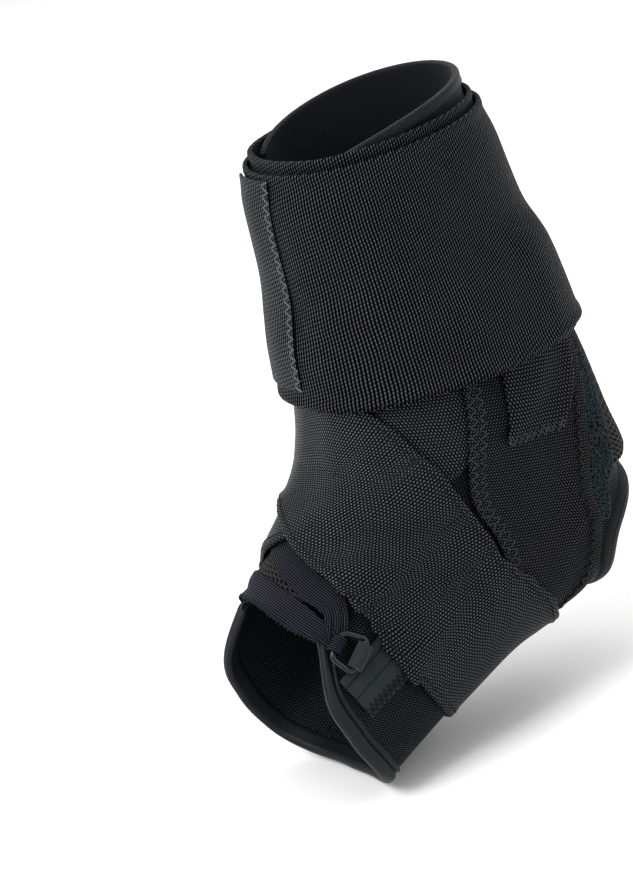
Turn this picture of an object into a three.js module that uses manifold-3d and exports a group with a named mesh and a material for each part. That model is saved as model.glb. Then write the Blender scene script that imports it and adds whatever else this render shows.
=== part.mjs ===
import * as THREE from 'three';
import { mergeVertices } from 'three/addons/utils/BufferGeometryUtils.js';
import Module from 'manifold-3d';

const wasm = await Module();
wasm.setup();

// Ankle brace in the form it has on a left foot, hollow, in millimetres. The origin is the centre
// of the ankle joint, +Z runs up the leg, -Y to the toes and +X to the outer side of the foot.
// The brace is a stack of cloth layers on one form. A place on the form is a station, 0 at the
// top of the leg and 1 at the foot opening, and an angle in degrees: 0 at the front, 90 on the
// outer side, 180 at the back and 270 on the inner side.

// Sizes of the form
const LEG_RISE = 128;         // ankle centre to the top station
const SOLE_DROP = 95;         // ankle centre down to the sole at the foot opening
const FOOT_REACH = 92;        // ankle centre forward to the instep at the foot opening
const HEEL_REACH = 52;        // ankle centre back to the heel
const HALF_WIDTH = 35;        // half the width over the ankle bones

// Heights on the leg and widths of the bands
const CUFF_TOP = 99;          // upper edge of the elastic cuff above the ankle centre
const CUFF_HEIGHT = 76;       // width of the cuff's elastic
const INNER_CUFF_RISE = 3.5;  // how far the cuff's under layer shows above the outer one
const INNER_CUFF_DROP = 1.5;  // and below it
const BOOT_TOP = 82;          // upper edge of the boot, under the cuff
const COLLAR_RISE = 11;       // how far the collar stands above the cuff at the back
const STRAP_WIDTH = 50;
const BINDING_WIDTH = 7;
const LACE_WIDTH = 9;
const TAB_WIDTH = 20;         // ring tab, along the ring's bar
const TAB_LENGTH = 15;        // from the ring's bar to the end under the foot binding
const END_TAB_WIDTH = 17;     // sewn end of the cuff
const RING_LENGTH = 14;       // ring, outside, along its straight bar
const RING_DEPTH = 10;
const RING_WIRE = 2;
const RING_NECK = 11;         // length of the ring's short bar, in the lace
const RING_CORNER = 1.5;      // how far each corner's round reaches along the bars

// Thickness of each cloth, and the clearance between two layers
const TONGUE_WALL = 2.4;
const BOOT_WALL = 1.8;
const COLLAR_WALL = 1.6;
const BINDING_WALL = 3.2;
const PAD_WALL = 7;           // in the middle of the pad
const PILE_WALL = 1.8;
const PANEL_WALL = 1.3;
const POCKET_WALL = 1.7;
const STRAP_WALL = 1.4;
const LACE_WALL = 1.3;
const TAB_WALL = 1.5;
const CUFF_WALL = 1.5;
const END_TAB_WALL = 1.1;
const CLEARANCE = 0.35;
const EASE = 0.4;             // steepest rise of a layer, over the edge of another, per millimetre

// How finely the form is divided
const COLUMNS = 26;
const STATION_STEP = 0.066;

// Stations of the form from the top down. y and z of its front and back line are shares of
// FOOT_REACH or HEEL_REACH and of LEG_RISE or SOLE_DROP, by their sign. widest is how far from
// front to back the section is widest, outer and inner are shares of HALF_WIDTH, and the last
// two give how square the section is.
const FORM = [
  // frontY frontZ  backY  backZ   widest outer  inner  roundF roundB
  [-0.370,  1.000,  0.615,  1.000, 0.50,  0.850, 0.850, 2.1,   2.1],
  [-0.359,  0.820,  0.590,  0.820, 0.50,  0.820, 0.820, 2.1,   2.1],
  [-0.370,  0.625,  0.620,  0.625, 0.50,  0.835, 0.835, 2.1,   2.2],
  [-0.380,  0.430,  0.680,  0.430, 0.50,  0.860, 0.860, 2.2,   2.2],
  [-0.395,  0.235,  0.735,  0.235, 0.50,  0.900, 0.900, 2.2,   2.1],
  [-0.430,  0.094,  0.785,  0.047, 0.50,  0.960, 0.960, 2.2,   2.1],
  [-0.478,  0.000,  0.825, -0.170, 0.50,  0.990, 0.990, 2.2,   2.1],
  [-0.548, -0.079,  0.935, -0.360, 0.50,  0.930, 0.930, 2.2,   2.2],
  [-0.620, -0.137,  0.990, -0.548, 0.50,  0.875, 0.875, 2.2,   2.4],
  [-0.690, -0.190,  0.690, -0.672, 0.52,  0.860, 0.860, 2.2,   2.6],
  [-0.767, -0.242,  0.077, -0.708, 0.55,  0.890, 0.890, 2.2,   2.8],
  [-0.853, -0.300, -0.348, -0.824, 0.58,  0.930, 0.930, 2.2,   3.0],
  [-1.000, -0.400, -0.837, -1.000, 0.60,  0.985, 0.985, 2.2,   3.2],
];

const lerp = (a, b, t) => a + (b - a) * t;
const degrees = Math.PI / 180;

// A smooth line through the rows of a table, at t from 0 to 1 and a little past its ends
function through(rows, t) {
  const place = t * (rows.length - 1);
  const i = Math.min(Math.max(Math.floor(place), 0), rows.length - 2);
  const f = place - i;
  return rows[i].map((b, k) => {
    const c = rows[i + 1][k];
    const a = i > 0 ? rows[i - 1][k] : 2 * b - c;
    const d = i < rows.length - 2 ? rows[i + 2][k] : 2 * c - b;
    return 0.5 * (2 * b + (c - a) * f + (2 * a - 5 * b + 4 * c - d) * f ** 2
      + (d - a + 3 * (b - c)) * f ** 3);
  });
}

const reach = (share) => share * (share < 0 ? FOOT_REACH : HEEL_REACH);
const level = (share) => share * (share < 0 ? SOLE_DROP : LEG_RISE);

// Point of the form at a station and an angle
function formPoint(station, angle) {
  const [fy, fz, by, bz, widest, outer, inner, roundF, roundB] = through(FORM, station);
  const front = new THREE.Vector3(0, reach(fy), level(fz));
  const back = new THREE.Vector3(0, reach(by), level(bz));
  const depth = front.distanceTo(back);
  const forward = front.clone().sub(back).divideScalar(depth);
  const c = Math.cos(angle * degrees);
  const s = Math.sin(angle * degrees);
  const half = depth * (c >= 0 ? widest : 1 - widest);
  const width = HALF_WIDTH * (s >= 0 ? outer : inner);
  const round = c >= 0 ? roundF : roundB;
  const radius = (Math.abs(c / half) ** round + Math.abs(s / width) ** round) ** (-1 / round);
  const point = front.lerp(back, widest).addScaledVector(forward, radius * c);
  point.x += radius * s;
  return point;
}

const NEAR_STATION = 0.002;
const NEAR_ANGLE = 0.5;

// The two directions along the form at a place, per station and per degree
function formSlopes(station, angle) {
  const above = formPoint(station - NEAR_STATION, angle);
  const down = formPoint(station + NEAR_STATION, angle).sub(above).divideScalar(2 * NEAR_STATION);
  const round = formPoint(station, angle + NEAR_ANGLE).sub(formPoint(station, angle - NEAR_ANGLE));
  return [down, round.divideScalar(2 * NEAR_ANGLE)];
}

function formNormal(station, angle) {
  const [down, round] = formSlopes(station, angle);
  return down.cross(round).normalize();
}

const offForm = (station, angle, height) =>
  formPoint(station, angle).addScaledVector(formNormal(station, angle), height);

const HALVINGS = 40;

// Station at which the front or back line of the leg is at a height
function stationAt(height, angle = 0) {
  let low = 0;
  let high = 0.5;
  for (let k = 0; k < HALVINGS; k += 1) {
    const middle = (low + high) / 2;
    if (formPoint(middle, angle).z > height) low = middle;
    else high = middle;
  }
  return low;
}

const TRAVEL_STEPS = 6;

// A place reached from another by going some millimetres along a direction on the form
function travel([station, angle], direction, distance) {
  const place = [station, angle];
  const aim = direction.clone();
  const stride = distance / TRAVEL_STEPS;
  for (let k = 0; k < TRAVEL_STEPS; k += 1) {
    const [down, round] = formSlopes(...place);
    const normal = down.clone().cross(round).normalize();
    aim.addScaledVector(normal, -aim.dot(normal)).normalize();
    const dd = down.dot(down);
    const dr = down.dot(round);
    const rr = round.dot(round);
    const determinant = dd * rr - dr * dr;
    const ad = aim.dot(down);
    const ar = aim.dot(round);
    place[0] += stride * (ad * rr - ar * dr) / determinant;
    place[1] += stride * (ar * dd - ad * dr) / determinant;
  }
  return place;
}

// The lattice that all layers share, so that their flat faces lie over each other
const cuffTop = stationAt(CUFF_TOP);
const cuffBottom = stationAt(CUFF_TOP - CUFF_HEIGHT);
const innerTop = stationAt(CUFF_TOP + INNER_CUFF_RISE);
const innerBottom = stationAt(CUFF_TOP - CUFF_HEIGHT - INNER_CUFF_DROP);
const bootTop = stationAt(BOOT_TOP);

function divide(marks, step) {
  const list = [marks[0]];
  for (let k = 1; k < marks.length; k += 1) {
    const parts = Math.max(1, Math.round((marks[k] - marks[k - 1]) / step));
    for (let j = 1; j <= parts; j += 1) list.push(lerp(marks[k - 1], marks[k], j / parts));
  }
  return list;
}

const stations = divide([0, innerTop, cuffTop, bootTop, cuffBottom, innerBottom, 1], STATION_STEP);
const angles = Array.from({ length: COLUMNS }, (_, j) => j * 360 / COLUMNS);
const lattice = stations.map((s) => angles.map((a) => ({
  point: formPoint(s, a), normal: formNormal(s, a),
})));
const field = (value) => stations.map(() => angles.map(() => value));

// A closed solid between two heights over a grid of places. ring closes it along the rows.
function solidBetween(grid, ring) {
  const rows = grid.length;
  const cols = grid[0].length;
  const positions = [];
  for (const side of ['low', 'high']) {
    for (const row of grid) for (const node of row) positions.push(...node[side].toArray());
  }
  const at = (side, i, j) => side * rows * cols + i * cols + (j % cols);
  const faces = [];
  const quad = (a, b, c, d) => faces.push(a, b, c, a, c, d);
  const lastCol = ring ? cols : cols - 1;
  for (let i = 0; i < rows - 1; i += 1) {
    for (let j = 0; j < lastCol; j += 1) {
      quad(at(1, i, j), at(1, i + 1, j), at(1, i + 1, j + 1), at(1, i, j + 1));
      quad(at(0, i + 1, j + 1), at(0, i + 1, j), at(0, i, j), at(0, i, j + 1));
    }
  }
  for (let j = 0; j < lastCol; j += 1) {
    quad(at(0, 0, j), at(1, 0, j), at(1, 0, j + 1), at(0, 0, j + 1));
    quad(at(0, rows - 1, j + 1), at(1, rows - 1, j + 1), at(1, rows - 1, j), at(0, rows - 1, j));
  }
  for (let i = 0; i < rows - 1 && !ring; i += 1) {
    quad(at(0, i, 0), at(0, i + 1, 0), at(1, i + 1, 0), at(1, i, 0));
    quad(at(0, i + 1, cols - 1), at(0, i, cols - 1), at(1, i, cols - 1), at(1, i + 1, cols - 1));
  }
  return solidFrom(positions, faces);
}

function solidFrom(positions, faces) {
  return new wasm.Manifold(new wasm.Mesh({
    numProp: 3,
    vertProperties: new Float32Array(positions),
    triVerts: new Uint32Array(faces),
  }));
}

const CUTTER_LOW = -6;
const CUTTER_HIGH = 22;

// A cutter with the outline of a patch, standing square on the form
function cutter(patch) {
  return solidBetween(patch.map((row) => row.map(([s, a]) => ({
    low: offForm(s, a, CUTTER_LOW), high: offForm(s, a, CUTTER_HIGH),
  }))), false);
}

// The shell between two height fields, over a run of the lattice's rows
function shell(inner, outer, firstRow, lastRow) {
  const grid = [];
  for (let i = firstRow; i <= lastRow; i += 1) {
    grid.push(lattice[i].map(({ point, normal }, j) => ({
      low: point.clone().addScaledVector(normal, inner[i][j]),
      high: point.clone().addScaledVector(normal, outer[i][j]),
    })));
  }
  return solidBetween(grid, true);
}

const ACROSS = [0, 0.5, 1];
const SPLITS = 2;             // steps of a patch between two rows of its table

// Patches are grids of places. This one runs down the form between two angles at each station.
function patchDown(rows) {
  const count = SPLITS * (rows.length - 1);
  return Array.from({ length: count + 1 }, (_, i) => {
    const [s, from, to] = through(rows, i / count);
    return ACROSS.map((t) => [s, lerp(from, to, t)]);
  });
}

// This one runs round the form between two stations, the lower one first
function patchRound(fromAngle, toAngle, count, lower, upper) {
  return Array.from({ length: count + 1 }, (_, i) => {
    const a = lerp(fromAngle, toAngle, i / count);
    const low = lower(a);
    const high = upper(a);
    return ACROSS.map((t) => [0, 1].map((k) => lerp(low[k], high[k], t)));
  });
}

const NEAR_SHARE = 0.01;

// And this one follows a path, with one width in millimetres
function strip(path, width, count) {
  return Array.from({ length: count + 1 }, (_, i) => {
    const place = through(path, i / count);
    const before = formPoint(...through(path, i / count - NEAR_SHARE));
    const along = formPoint(...through(path, i / count + NEAR_SHARE)).sub(before);
    const across = formNormal(...place).cross(along);
    return ACROSS.map((t) => travel(place, across, width * (t - 0.5)));
  });
}

// The same rows on the other side of the foot
const mirrored = (rows) => rows.map(([s, ...edges]) => [s, ...edges.reverse().map((a) => 360 - a)]);

// The border of a patch, and whether a place lies inside one
function border(patch) {
  const ends = (row) => row.slice(1, -1);
  return [
    ...patch.map((row) => row[0]),
    ...ends(patch.at(-1)),
    ...patch.map((row) => row.at(-1)).reverse(),
    ...ends(patch[0]).reverse(),
  ];
}

function inside(outline, s, a) {
  let odd = false;
  for (const turn of [-360, 0, 360]) {
    for (let k = 0; k < outline.length; k += 1) {
      const [s1, a1] = outline[k];
      const [s2, a2] = outline[(k + 1) % outline.length];
      const crosses = (s1 > s) !== (s2 > s);
      if (crosses && a + turn < a1 + (a2 - a1) * (s - s1) / (s2 - s1)) odd = !odd;
    }
  }
  return odd;
}

// How high the layers stand so far, at each point of the lattice
const top = field(0);
const SAMPLES = [0, 0.2, 0.4, 0.6, 0.8, 1];
const around = (k) => [k - 2, k - 1, k, k + 1, k + 2];
const spacing = (i, j, k, l) => lattice[i][j].point.distanceTo(lattice[k][l].point);

// Height that a cloth laid over the stack takes: it eases over edges and never sinks in
function laid() {
  return stations.map((_, i) => angles.map((__, j) => {
    let bed = 0;
    for (const k of around(i).filter((n) => n >= 0 && n < stations.length)) {
      for (const l of around(j).map((n) => (n + COLUMNS) % COLUMNS)) {
        bed = Math.max(bed, top[k][l] - EASE * spacing(i, j, k, l));
      }
    }
    return bed + CLEARANCE;
  }));
}

// Raises the stack at every corner of each cell that a cloth reaches
function raise(outer, covers) {
  for (let i = 0; i < stations.length - 1; i += 1) {
    for (let j = 0; j < COLUMNS; j += 1) {
      const across = (q) => angles[j] + q * 360 / COLUMNS;
      const down = (p) => lerp(stations[i], stations[i + 1], p);
      if (!SAMPLES.some((p) => SAMPLES.some((q) => covers(down(p), across(q))))) continue;
      const next = (j + 1) % COLUMNS;
      for (const [k, l] of [[i, j], [i + 1, j], [i, next], [i + 1, next]]) {
        top[k][l] = Math.max(top[k][l], outer[k][l]);
      }
    }
  }
}

// A smooth reading of a height field at a place
function heightAt(heights, [s, a]) {
  const i = Math.min(stations.findIndex((value) => value > s) - 1, stations.length - 2);
  const f = (s - stations[i]) / (stations[i + 1] - stations[i]);
  const turn = ((a % 360) + 360) % 360 / 360 * COLUMNS;
  const j = Math.floor(turn) % COLUMNS;
  const row = (k) => lerp(heights[k][j], heights[k][(j + 1) % COLUMNS], turn - Math.floor(turn));
  return lerp(row(i), row(i + 1), f);
}

const MERGE = 0.01;

// A solid as a mesh, without the slivers that a cut can leave
function geometryOf(solid) {
  const mesh = solid.getMesh();
  const raw = new THREE.BufferGeometry();
  raw.setAttribute('position', new THREE.BufferAttribute(mesh.vertProperties, 3));
  raw.setIndex(new THREE.BufferAttribute(mesh.triVerts, 1));
  const merged = mergeVertices(raw, MERGE);
  const index = merged.index.array;
  const kept = [];
  for (let k = 0; k < index.length; k += 3) {
    const [a, b, c] = [index[k], index[k + 1], index[k + 2]];
    if (a !== b && b !== c && c !== a) kept.push(a, b, c);
  }
  merged.setIndex(kept);
  merged.computeVertexNormals();
  return merged;
}

const brace = new THREE.Group();

function add(name, solid, finish) {
  const mesh = new THREE.Mesh(geometryOf(solid), finish);
  mesh.name = name;
  brace.add(mesh);
}

const cloth = (color, roughness) => new THREE.MeshStandardMaterial({ color, roughness, metalness: 0 });
const nylon = cloth(0x26282b, 0.8);
const tape = cloth(0x1f2529, 0.7);
const elastic = cloth(0x24282a, 0.9);
const lace = cloth(0x1b1f26, 0.85);
const spacerMesh = cloth(0x2a2628, 0.95);
const pile = cloth(0x2c3a40, 1);
const stretch = cloth(0x20262b, 0.7);
const suede = cloth(0x232a2c, 0.9);
const metal = new THREE.MeshStandardMaterial({ color: 0x3a3c40, roughness: 0.3, metalness: 0.9 });

// Lays a cloth on the stack as a closed band between two stations or as patches, cuts its holes
// and raises the stack. bed gives the cloth's inner height where it isn't the stack's, and bulge
// a share that is added to the wall by place. A cloth left open gets a fold before it is added.
function layOn(name, finish, wall, shape) {
  const { band, patches = [], holes = [], bed: inner = laid(), bulge = () => 0, open = false } = shape;
  const outer = inner.map((row, i) => row.map((height, j) =>
    height + wall * (1 + bulge(stations[i], angles[j]))));
  const [from, to] = band ?? [stations[0], stations.at(-1)];
  const whole = shell(inner, outer, stations.indexOf(from), stations.indexOf(to));
  const pieces = patches.map((patch) => whole.intersect(cutter(patch)));
  const joined = band ? whole : pieces.reduce((sum, piece) => sum.add(piece));
  const solid = holes.reduce((rest, hole) => rest.subtract(cutter(hole)), joined);
  const outlines = patches.map(border);
  const gaps = holes.map(border);
  raise(outer, (s, a) => !gaps.some((gap) => inside(gap, s, a))
    && (band ? s > from && s < to : outlines.some((outline) => inside(outline, s, a))));
  if (!open) add(name, solid, finish);
  return { solid, inner, outer };
}

// Tongue: station and the angles of its two edges
const TONGUE = [
  [0.12, -34, 34],
  [0.38, -32, 32],
  [0.65, -28, 28],
  [0.90, -20, 24],
];
layOn('tongue', spacerMesh, TONGUE_WALL, { patches: [patchDown(TONGUE)] });

// Collar: it stands highest at the back and runs down under the boot
const COLLAR_FRONT = 40;
const COLLAR_LAP = 14;
const COLLAR_ROUND = 0.6;
const COLLAR_STEPS = 12;
const collarTop = (a) => {
  const share = Math.sin(Math.PI * (a - COLLAR_FRONT) / (360 - 2 * COLLAR_FRONT)) ** COLLAR_ROUND;
  return [stationAt(CUFF_TOP + COLLAR_RISE * share), a];
};
const collarLow = (a) => [stationAt(BOOT_TOP - COLLAR_LAP), a];
const collarPatch = patchRound(COLLAR_FRONT, 360 - COLLAR_FRONT, COLLAR_STEPS, collarLow, collarTop);
layOn('top_collar', stretch, COLLAR_WALL, { patches: [collarPatch] });

// Foot opening: its station at even steps from the front end to the sole, the same on both sides
const FOOT_EDGE = [[0.945], [0.992], [0.998], [0.994], [0.988], [0.985], [0.985]];
const FRONT_END = 38;
const fromFront = (a) => (180 - Math.abs(180 - a) - FRONT_END) / (180 - FRONT_END);
const footEdge = (a) => [through(FOOT_EDGE, fromFront(a))[0], a];
const upFrom = (at, distance) => travel(at, formSlopes(...at)[0].negate(), distance);
const footSeam = (a) => upFrom(footEdge(a), BINDING_WIDTH);
const bootEdge = (a) => upFrom(footEdge(a), BINDING_WIDTH + CLEARANCE);
const PAST_END = 1.05;
const past = (a) => [PAST_END, a];
const FOOT_STEPS = 14;
const FOOT_STEP = (360 - 2 * FRONT_END) / FOOT_STEPS;
const pastSeam = patchRound(FRONT_END - FOOT_STEP, 360 - FRONT_END + FOOT_STEP, FOOT_STEPS + 2,
  past, bootEdge);

// Heel opening: an oval round the heel, with a margin for the seam of its binding
const HEEL_MIDDLE = 0.688;
const HEEL_TALL = 0.085;
const HEEL_SPREAD = 30;
const HEEL_STEPS = 8;
const HEEL_TIP = 10;          // turn at which the oval's first row lies
const heelEdge = (turn, margin) => {
  const edge = [
    HEEL_MIDDLE - HEEL_TALL * Math.cos(turn * degrees),
    180 - HEEL_SPREAD * Math.sin(turn * degrees),
  ];
  return travel(edge, formPoint(...edge).sub(formPoint(HEEL_MIDDLE, 180)), margin);
};
const heelPatch = (margin) => Array.from({ length: HEEL_STEPS + 1 }, (_, i) => {
  const [s, a] = heelEdge(lerp(HEEL_TIP, 180 - HEEL_TIP, i / HEEL_STEPS), margin);
  return ACROSS.map((t) => [s, lerp(a, 360 - a, t)]);
});

// Boot: the angles of its front edges
const FRONT_EDGE = [
  [0.05, -17, 17],
  [0.45, -18, 18],
  [0.75, -23, 23],
  [1.05, -45, 45],
];
const bootHoles = [
  patchDown(FRONT_EDGE),
  heelPatch(BINDING_WIDTH + CLEARANCE),
  pastSeam,
];
layOn('boot_shell', nylon, BOOT_WALL, { band: [bootTop, 1], holes: bootHoles });

// The bindings are folded over the boot's cut edges, so their inner side lies inside the boot's
const BINDING_BASE = -0.3;
const footRing = patchRound(FRONT_END, 360 - FRONT_END, FOOT_STEPS, footEdge, footSeam);
layOn('foot_binding', tape, BINDING_WALL, { patches: [footRing], bed: field(BINDING_BASE) });
layOn('heel_binding', tape, BINDING_WALL,
  { patches: [heelPatch(BINDING_WIDTH)], holes: [heelPatch(0)], bed: field(BINDING_BASE) });

// Mesh pad over the heel cord, and the pile strips that overlap its edges
const PAD = [
  [0.34, 152, 208],
  [0.44, 146, 214],
  [0.52, 142, 218],
  [0.575, 141, 219],
];
const PAD_EDGE = 0.5;         // wall at the pad's ends, as a share of its wall in the middle
const padBulge = (s) => {
  const share = (s - PAD[0][0]) / (PAD.at(-1)[0] - PAD[0][0]);
  return (1 - PAD_EDGE) * (Math.sin(Math.PI * Math.min(Math.max(share, 0), 1)) - 1);
};
layOn('achilles_pad', spacerMesh, PAD_WALL, { patches: [patchDown(PAD)], bulge: padBulge });

const PILE_STRIP = [
  [0.30, 138, 155],
  [0.40, 131, 150],
  [0.50, 124, 146],
  [0.58, 122, 143],
  [0.655, 125, 140],
];
layOn('pile_strip_lateral', pile, PILE_WALL, { patches: [patchDown(PILE_STRIP)] });
layOn('pile_strip_medial', pile, PILE_WALL, { patches: [patchDown(mirrored(PILE_STRIP))] });

// Ring: its middle, and its own directions on the form, along its bars and out to the lace
const RING_PLACE = [0.942, 54];
const RING_LINE = [[0.91, 56], [0.95, 62]];   // the straight bar runs as the line of these two
const RING_SIDES = 8;
const ringNormal = formNormal(...RING_PLACE);
const ringLine = RING_LINE.map((at) => formPoint(...at));
const ringAlong = ringLine[1].sub(ringLine[0]).projectOnPlane(ringNormal).normalize();
const ringOut = ringAlong.clone().cross(ringNormal).normalize();
const barOffset = (RING_DEPTH - RING_WIRE) / 2;
const laceEnd = travel(RING_PLACE, ringOut, barOffset);
const tabEnd = travel(RING_PLACE, ringOut.clone().negate(), barOffset);

// Lace: two strands from the ring over the instep to the inner side of the boot
const LACE_UPPER = [
  laceEnd,
  [0.892, 34],
  [0.86, 19],
  [0.82, 6],
  [0.775, -5],
  [0.73, -16],
  [0.69, -28],
];
const LACE_LOWER = [
  laceEnd,
  [0.935, 31],
  [0.925, 15],
  [0.912, 0],
  [0.905, -15],
  [0.905, -30],
  [0.915, -43],
];
const LACE_STEPS = 9;
const ringBed = laid();
const strands = [LACE_UPPER, LACE_LOWER].map((path) => strip(path, LACE_WIDTH, LACE_STEPS));
const laceLayer = layOn('instep_elastic', lace, LACE_WALL, { patches: strands, bed: ringBed, open: true });

const TAB_AIM = [0.949, 84];
const TAB_STEPS = 4;
const tabWay = formPoint(...TAB_AIM).sub(formPoint(...tabEnd));
const tabPath = ACROSS.map((t) => travel(tabEnd, tabWay, TAB_LENGTH * t));
const tabLayer = layOn('ring_tab', suede, TAB_WALL,
  { patches: [strip(tabPath, TAB_WIDTH, TAB_STEPS)], holes: [pastSeam], bed: ringBed, open: true });

// The ring lies just over the lace and the tab, and each is folded round its own bar
const ringHeight = CLEARANCE + RING_WIRE / 2
  + Math.max(heightAt(laceLayer.outer, laceEnd), heightAt(tabLayer.outer, tabEnd));
const ringMiddle = offForm(...RING_PLACE, ringHeight);
const onRing = (along, out) => ringMiddle.clone()
  .addScaledVector(ringAlong, along).addScaledVector(ringOut, out);

// A closed loop of wire through points of one plane
function wireLoop(points, normal, wire, sides) {
  const count = points.length;
  const positions = [];
  points.forEach((point, i) => {
    const ahead = points[(i + 1) % count].clone().sub(points[(i + count - 1) % count]).normalize();
    const aside = ahead.cross(normal);
    for (let k = 0; k < sides; k += 1) {
      const turn = 2 * Math.PI * k / sides;
      positions.push(...point.clone().addScaledVector(aside, Math.cos(turn) * wire / 2)
        .addScaledVector(normal, Math.sin(turn) * wire / 2).toArray());
    }
  });
  const faces = [];
  for (let i = 0; i < count; i += 1) {
    for (let k = 0; k < sides; k += 1) {
      const at = (di, dk) => ((i + di) % count) * sides + (k + dk) % sides;
      faces.push(at(0, 0), at(1, 0), at(1, 1), at(0, 0), at(1, 1), at(0, 1));
    }
  }
  return solidFrom(positions, faces);
}

// The wire's middle line is a four-sided loop with rounded corners
const ringHalf = (RING_LENGTH - RING_WIRE) / 2;
const neckHalf = (RING_NECK - RING_WIRE) / 2;
const corners = [
  new THREE.Vector2(-ringHalf, -barOffset),
  new THREE.Vector2(ringHalf, -barOffset),
  new THREE.Vector2(neckHalf, barOffset),
  new THREE.Vector2(-neckHalf, barOffset),
];
const ringShape = new THREE.Shape();
const nearCorner = (corner, other) => other.clone().sub(corner).setLength(RING_CORNER).add(corner);
corners.forEach((corner, k) => {
  const start = nearCorner(corner, corners[(k + 3) % 4]);
  const end = nearCorner(corner, corners[(k + 1) % 4]);
  if (k === 0) ringShape.moveTo(start.x, start.y);
  else ringShape.lineTo(start.x, start.y);
  ringShape.quadraticCurveTo(corner.x, corner.y, end.x, end.y);
});
ringShape.closePath();
const ringPoints = ringShape.getPoints(3).slice(0, -1).map(({ x, y }) => onRing(x, y));
add('d_ring', wireLoop(ringPoints, ringNormal, RING_WIRE, RING_SIDES), metal);

const FOLD_SIDES = 12;

// The fold of a cloth round a bar of the ring, joined to the cloth
function fold(layer, at, out, half) {
  const outerRadius = ringHeight - heightAt(layer.inner, at);
  const innerRadius = RING_WIRE / 2 + CLEARANCE;
  const width = 2 * (half - RING_CORNER - CLEARANCE);
  const grid = [-0.5, 0.5].map((share) => Array.from({ length: FOLD_SIDES }, (_, k) => {
    const middle = onRing(width * share, out);
    const arm = ringNormal.clone().applyAxisAngle(ringAlong, -2 * Math.PI * k / FOLD_SIDES);
    return {
      low: middle.clone().addScaledVector(arm, innerRadius),
      high: middle.clone().addScaledVector(arm, outerRadius),
    };
  }));
  return layer.solid.add(solidBetween(grid, true));
}
add('instep_elastic', fold(laceLayer, laceEnd, barOffset, neckHalf), lace);
add('ring_tab', fold(tabLayer, tabEnd, -barOffset, ringHalf), suede);

// Side panels with their stay pockets, and the two straps of the figure eight, inner side first
const PANEL = [
  [0.30, 70, 147],
  [0.40, 69, 141],
  [0.50, 63, 131],
  [0.60, 62, 130],
  [0.70, 76, 139],
  [0.82, 106, 150],
];
const POCKET = [
  [0.28, 95, 142],
  [0.35, 92, 139],
  [0.42, 88, 130],
  [0.47, 84, 117],
];
const STRAP = [
  [0.885, 178],
  [0.88, 142],
  [0.86, 102],
  [0.82, 68],
  [0.73, 37],
  [0.60, 22],
  [0.49, 8],
  [0.435, -14],
  [0.39, -40],
  [0.35, -64],
  [0.31, -88],
];
const STRAP_STEPS = 12;
layOn('side_panel_medial', nylon, PANEL_WALL, { patches: [patchDown(mirrored(PANEL))] });
layOn('stay_pocket_medial', nylon, POCKET_WALL, { patches: [patchDown(mirrored(POCKET))] });
const otherStrap = mirrored(STRAP);
layOn('medial_strap', nylon, STRAP_WALL, { patches: [strip(otherStrap, STRAP_WIDTH, STRAP_STEPS)] });
layOn('side_panel_lateral', nylon, PANEL_WALL, { patches: [patchDown(PANEL)] });
layOn('stay_pocket_lateral', nylon, POCKET_WALL, { patches: [patchDown(POCKET)] });
layOn('lateral_strap', nylon, STRAP_WALL, { patches: [strip(STRAP, STRAP_WIDTH, STRAP_STEPS)] });

// Elastic wrap: its under layer, its upper layer and the sewn end
layOn('inner_cuff', elastic, CUFF_WALL, { band: [innerTop, innerBottom] });
layOn('elastic_cuff', elastic, CUFF_WALL, { band: [cuffTop, cuffBottom] });
const END_TAB = [
  // share of the cuff's height, angle of the right edge
  [0.02, 7],
  [0.3, 4],
  [0.9, 5],
];
const endTab = patchDown(END_TAB.map(([share, a]) => {
  const edge = [lerp(cuffTop, cuffBottom, share), a];
  const left = travel(edge, formSlopes(...edge)[1].negate(), END_TAB_WIDTH);
  return [edge[0], left[1], a];
}));
layOn('cuff_end_tab', elastic, END_TAB_WALL, { patches: [endTab] });

export default brace;
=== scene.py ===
from types import SimpleNamespace

import bpy
import numpy as np
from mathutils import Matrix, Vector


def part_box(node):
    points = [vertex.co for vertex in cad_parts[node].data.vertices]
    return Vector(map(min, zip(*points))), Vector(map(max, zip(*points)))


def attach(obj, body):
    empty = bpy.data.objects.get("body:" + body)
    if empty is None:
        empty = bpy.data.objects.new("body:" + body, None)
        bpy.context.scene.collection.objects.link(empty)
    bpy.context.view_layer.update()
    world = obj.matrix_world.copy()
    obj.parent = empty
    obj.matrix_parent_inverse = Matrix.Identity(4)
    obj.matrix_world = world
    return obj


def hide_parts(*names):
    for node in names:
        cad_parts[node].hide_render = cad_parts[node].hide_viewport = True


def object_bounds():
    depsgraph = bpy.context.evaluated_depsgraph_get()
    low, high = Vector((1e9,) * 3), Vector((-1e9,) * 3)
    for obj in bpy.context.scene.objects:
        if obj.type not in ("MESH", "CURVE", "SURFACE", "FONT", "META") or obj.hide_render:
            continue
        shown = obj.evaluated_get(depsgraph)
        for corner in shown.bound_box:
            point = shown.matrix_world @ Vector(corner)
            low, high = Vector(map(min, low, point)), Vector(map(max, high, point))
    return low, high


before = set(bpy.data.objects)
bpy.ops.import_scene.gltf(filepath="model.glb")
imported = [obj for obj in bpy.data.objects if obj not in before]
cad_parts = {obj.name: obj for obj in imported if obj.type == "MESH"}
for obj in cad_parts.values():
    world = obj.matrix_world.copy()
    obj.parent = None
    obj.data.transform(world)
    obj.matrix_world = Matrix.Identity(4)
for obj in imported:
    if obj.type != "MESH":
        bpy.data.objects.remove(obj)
cad_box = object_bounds()

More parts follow.
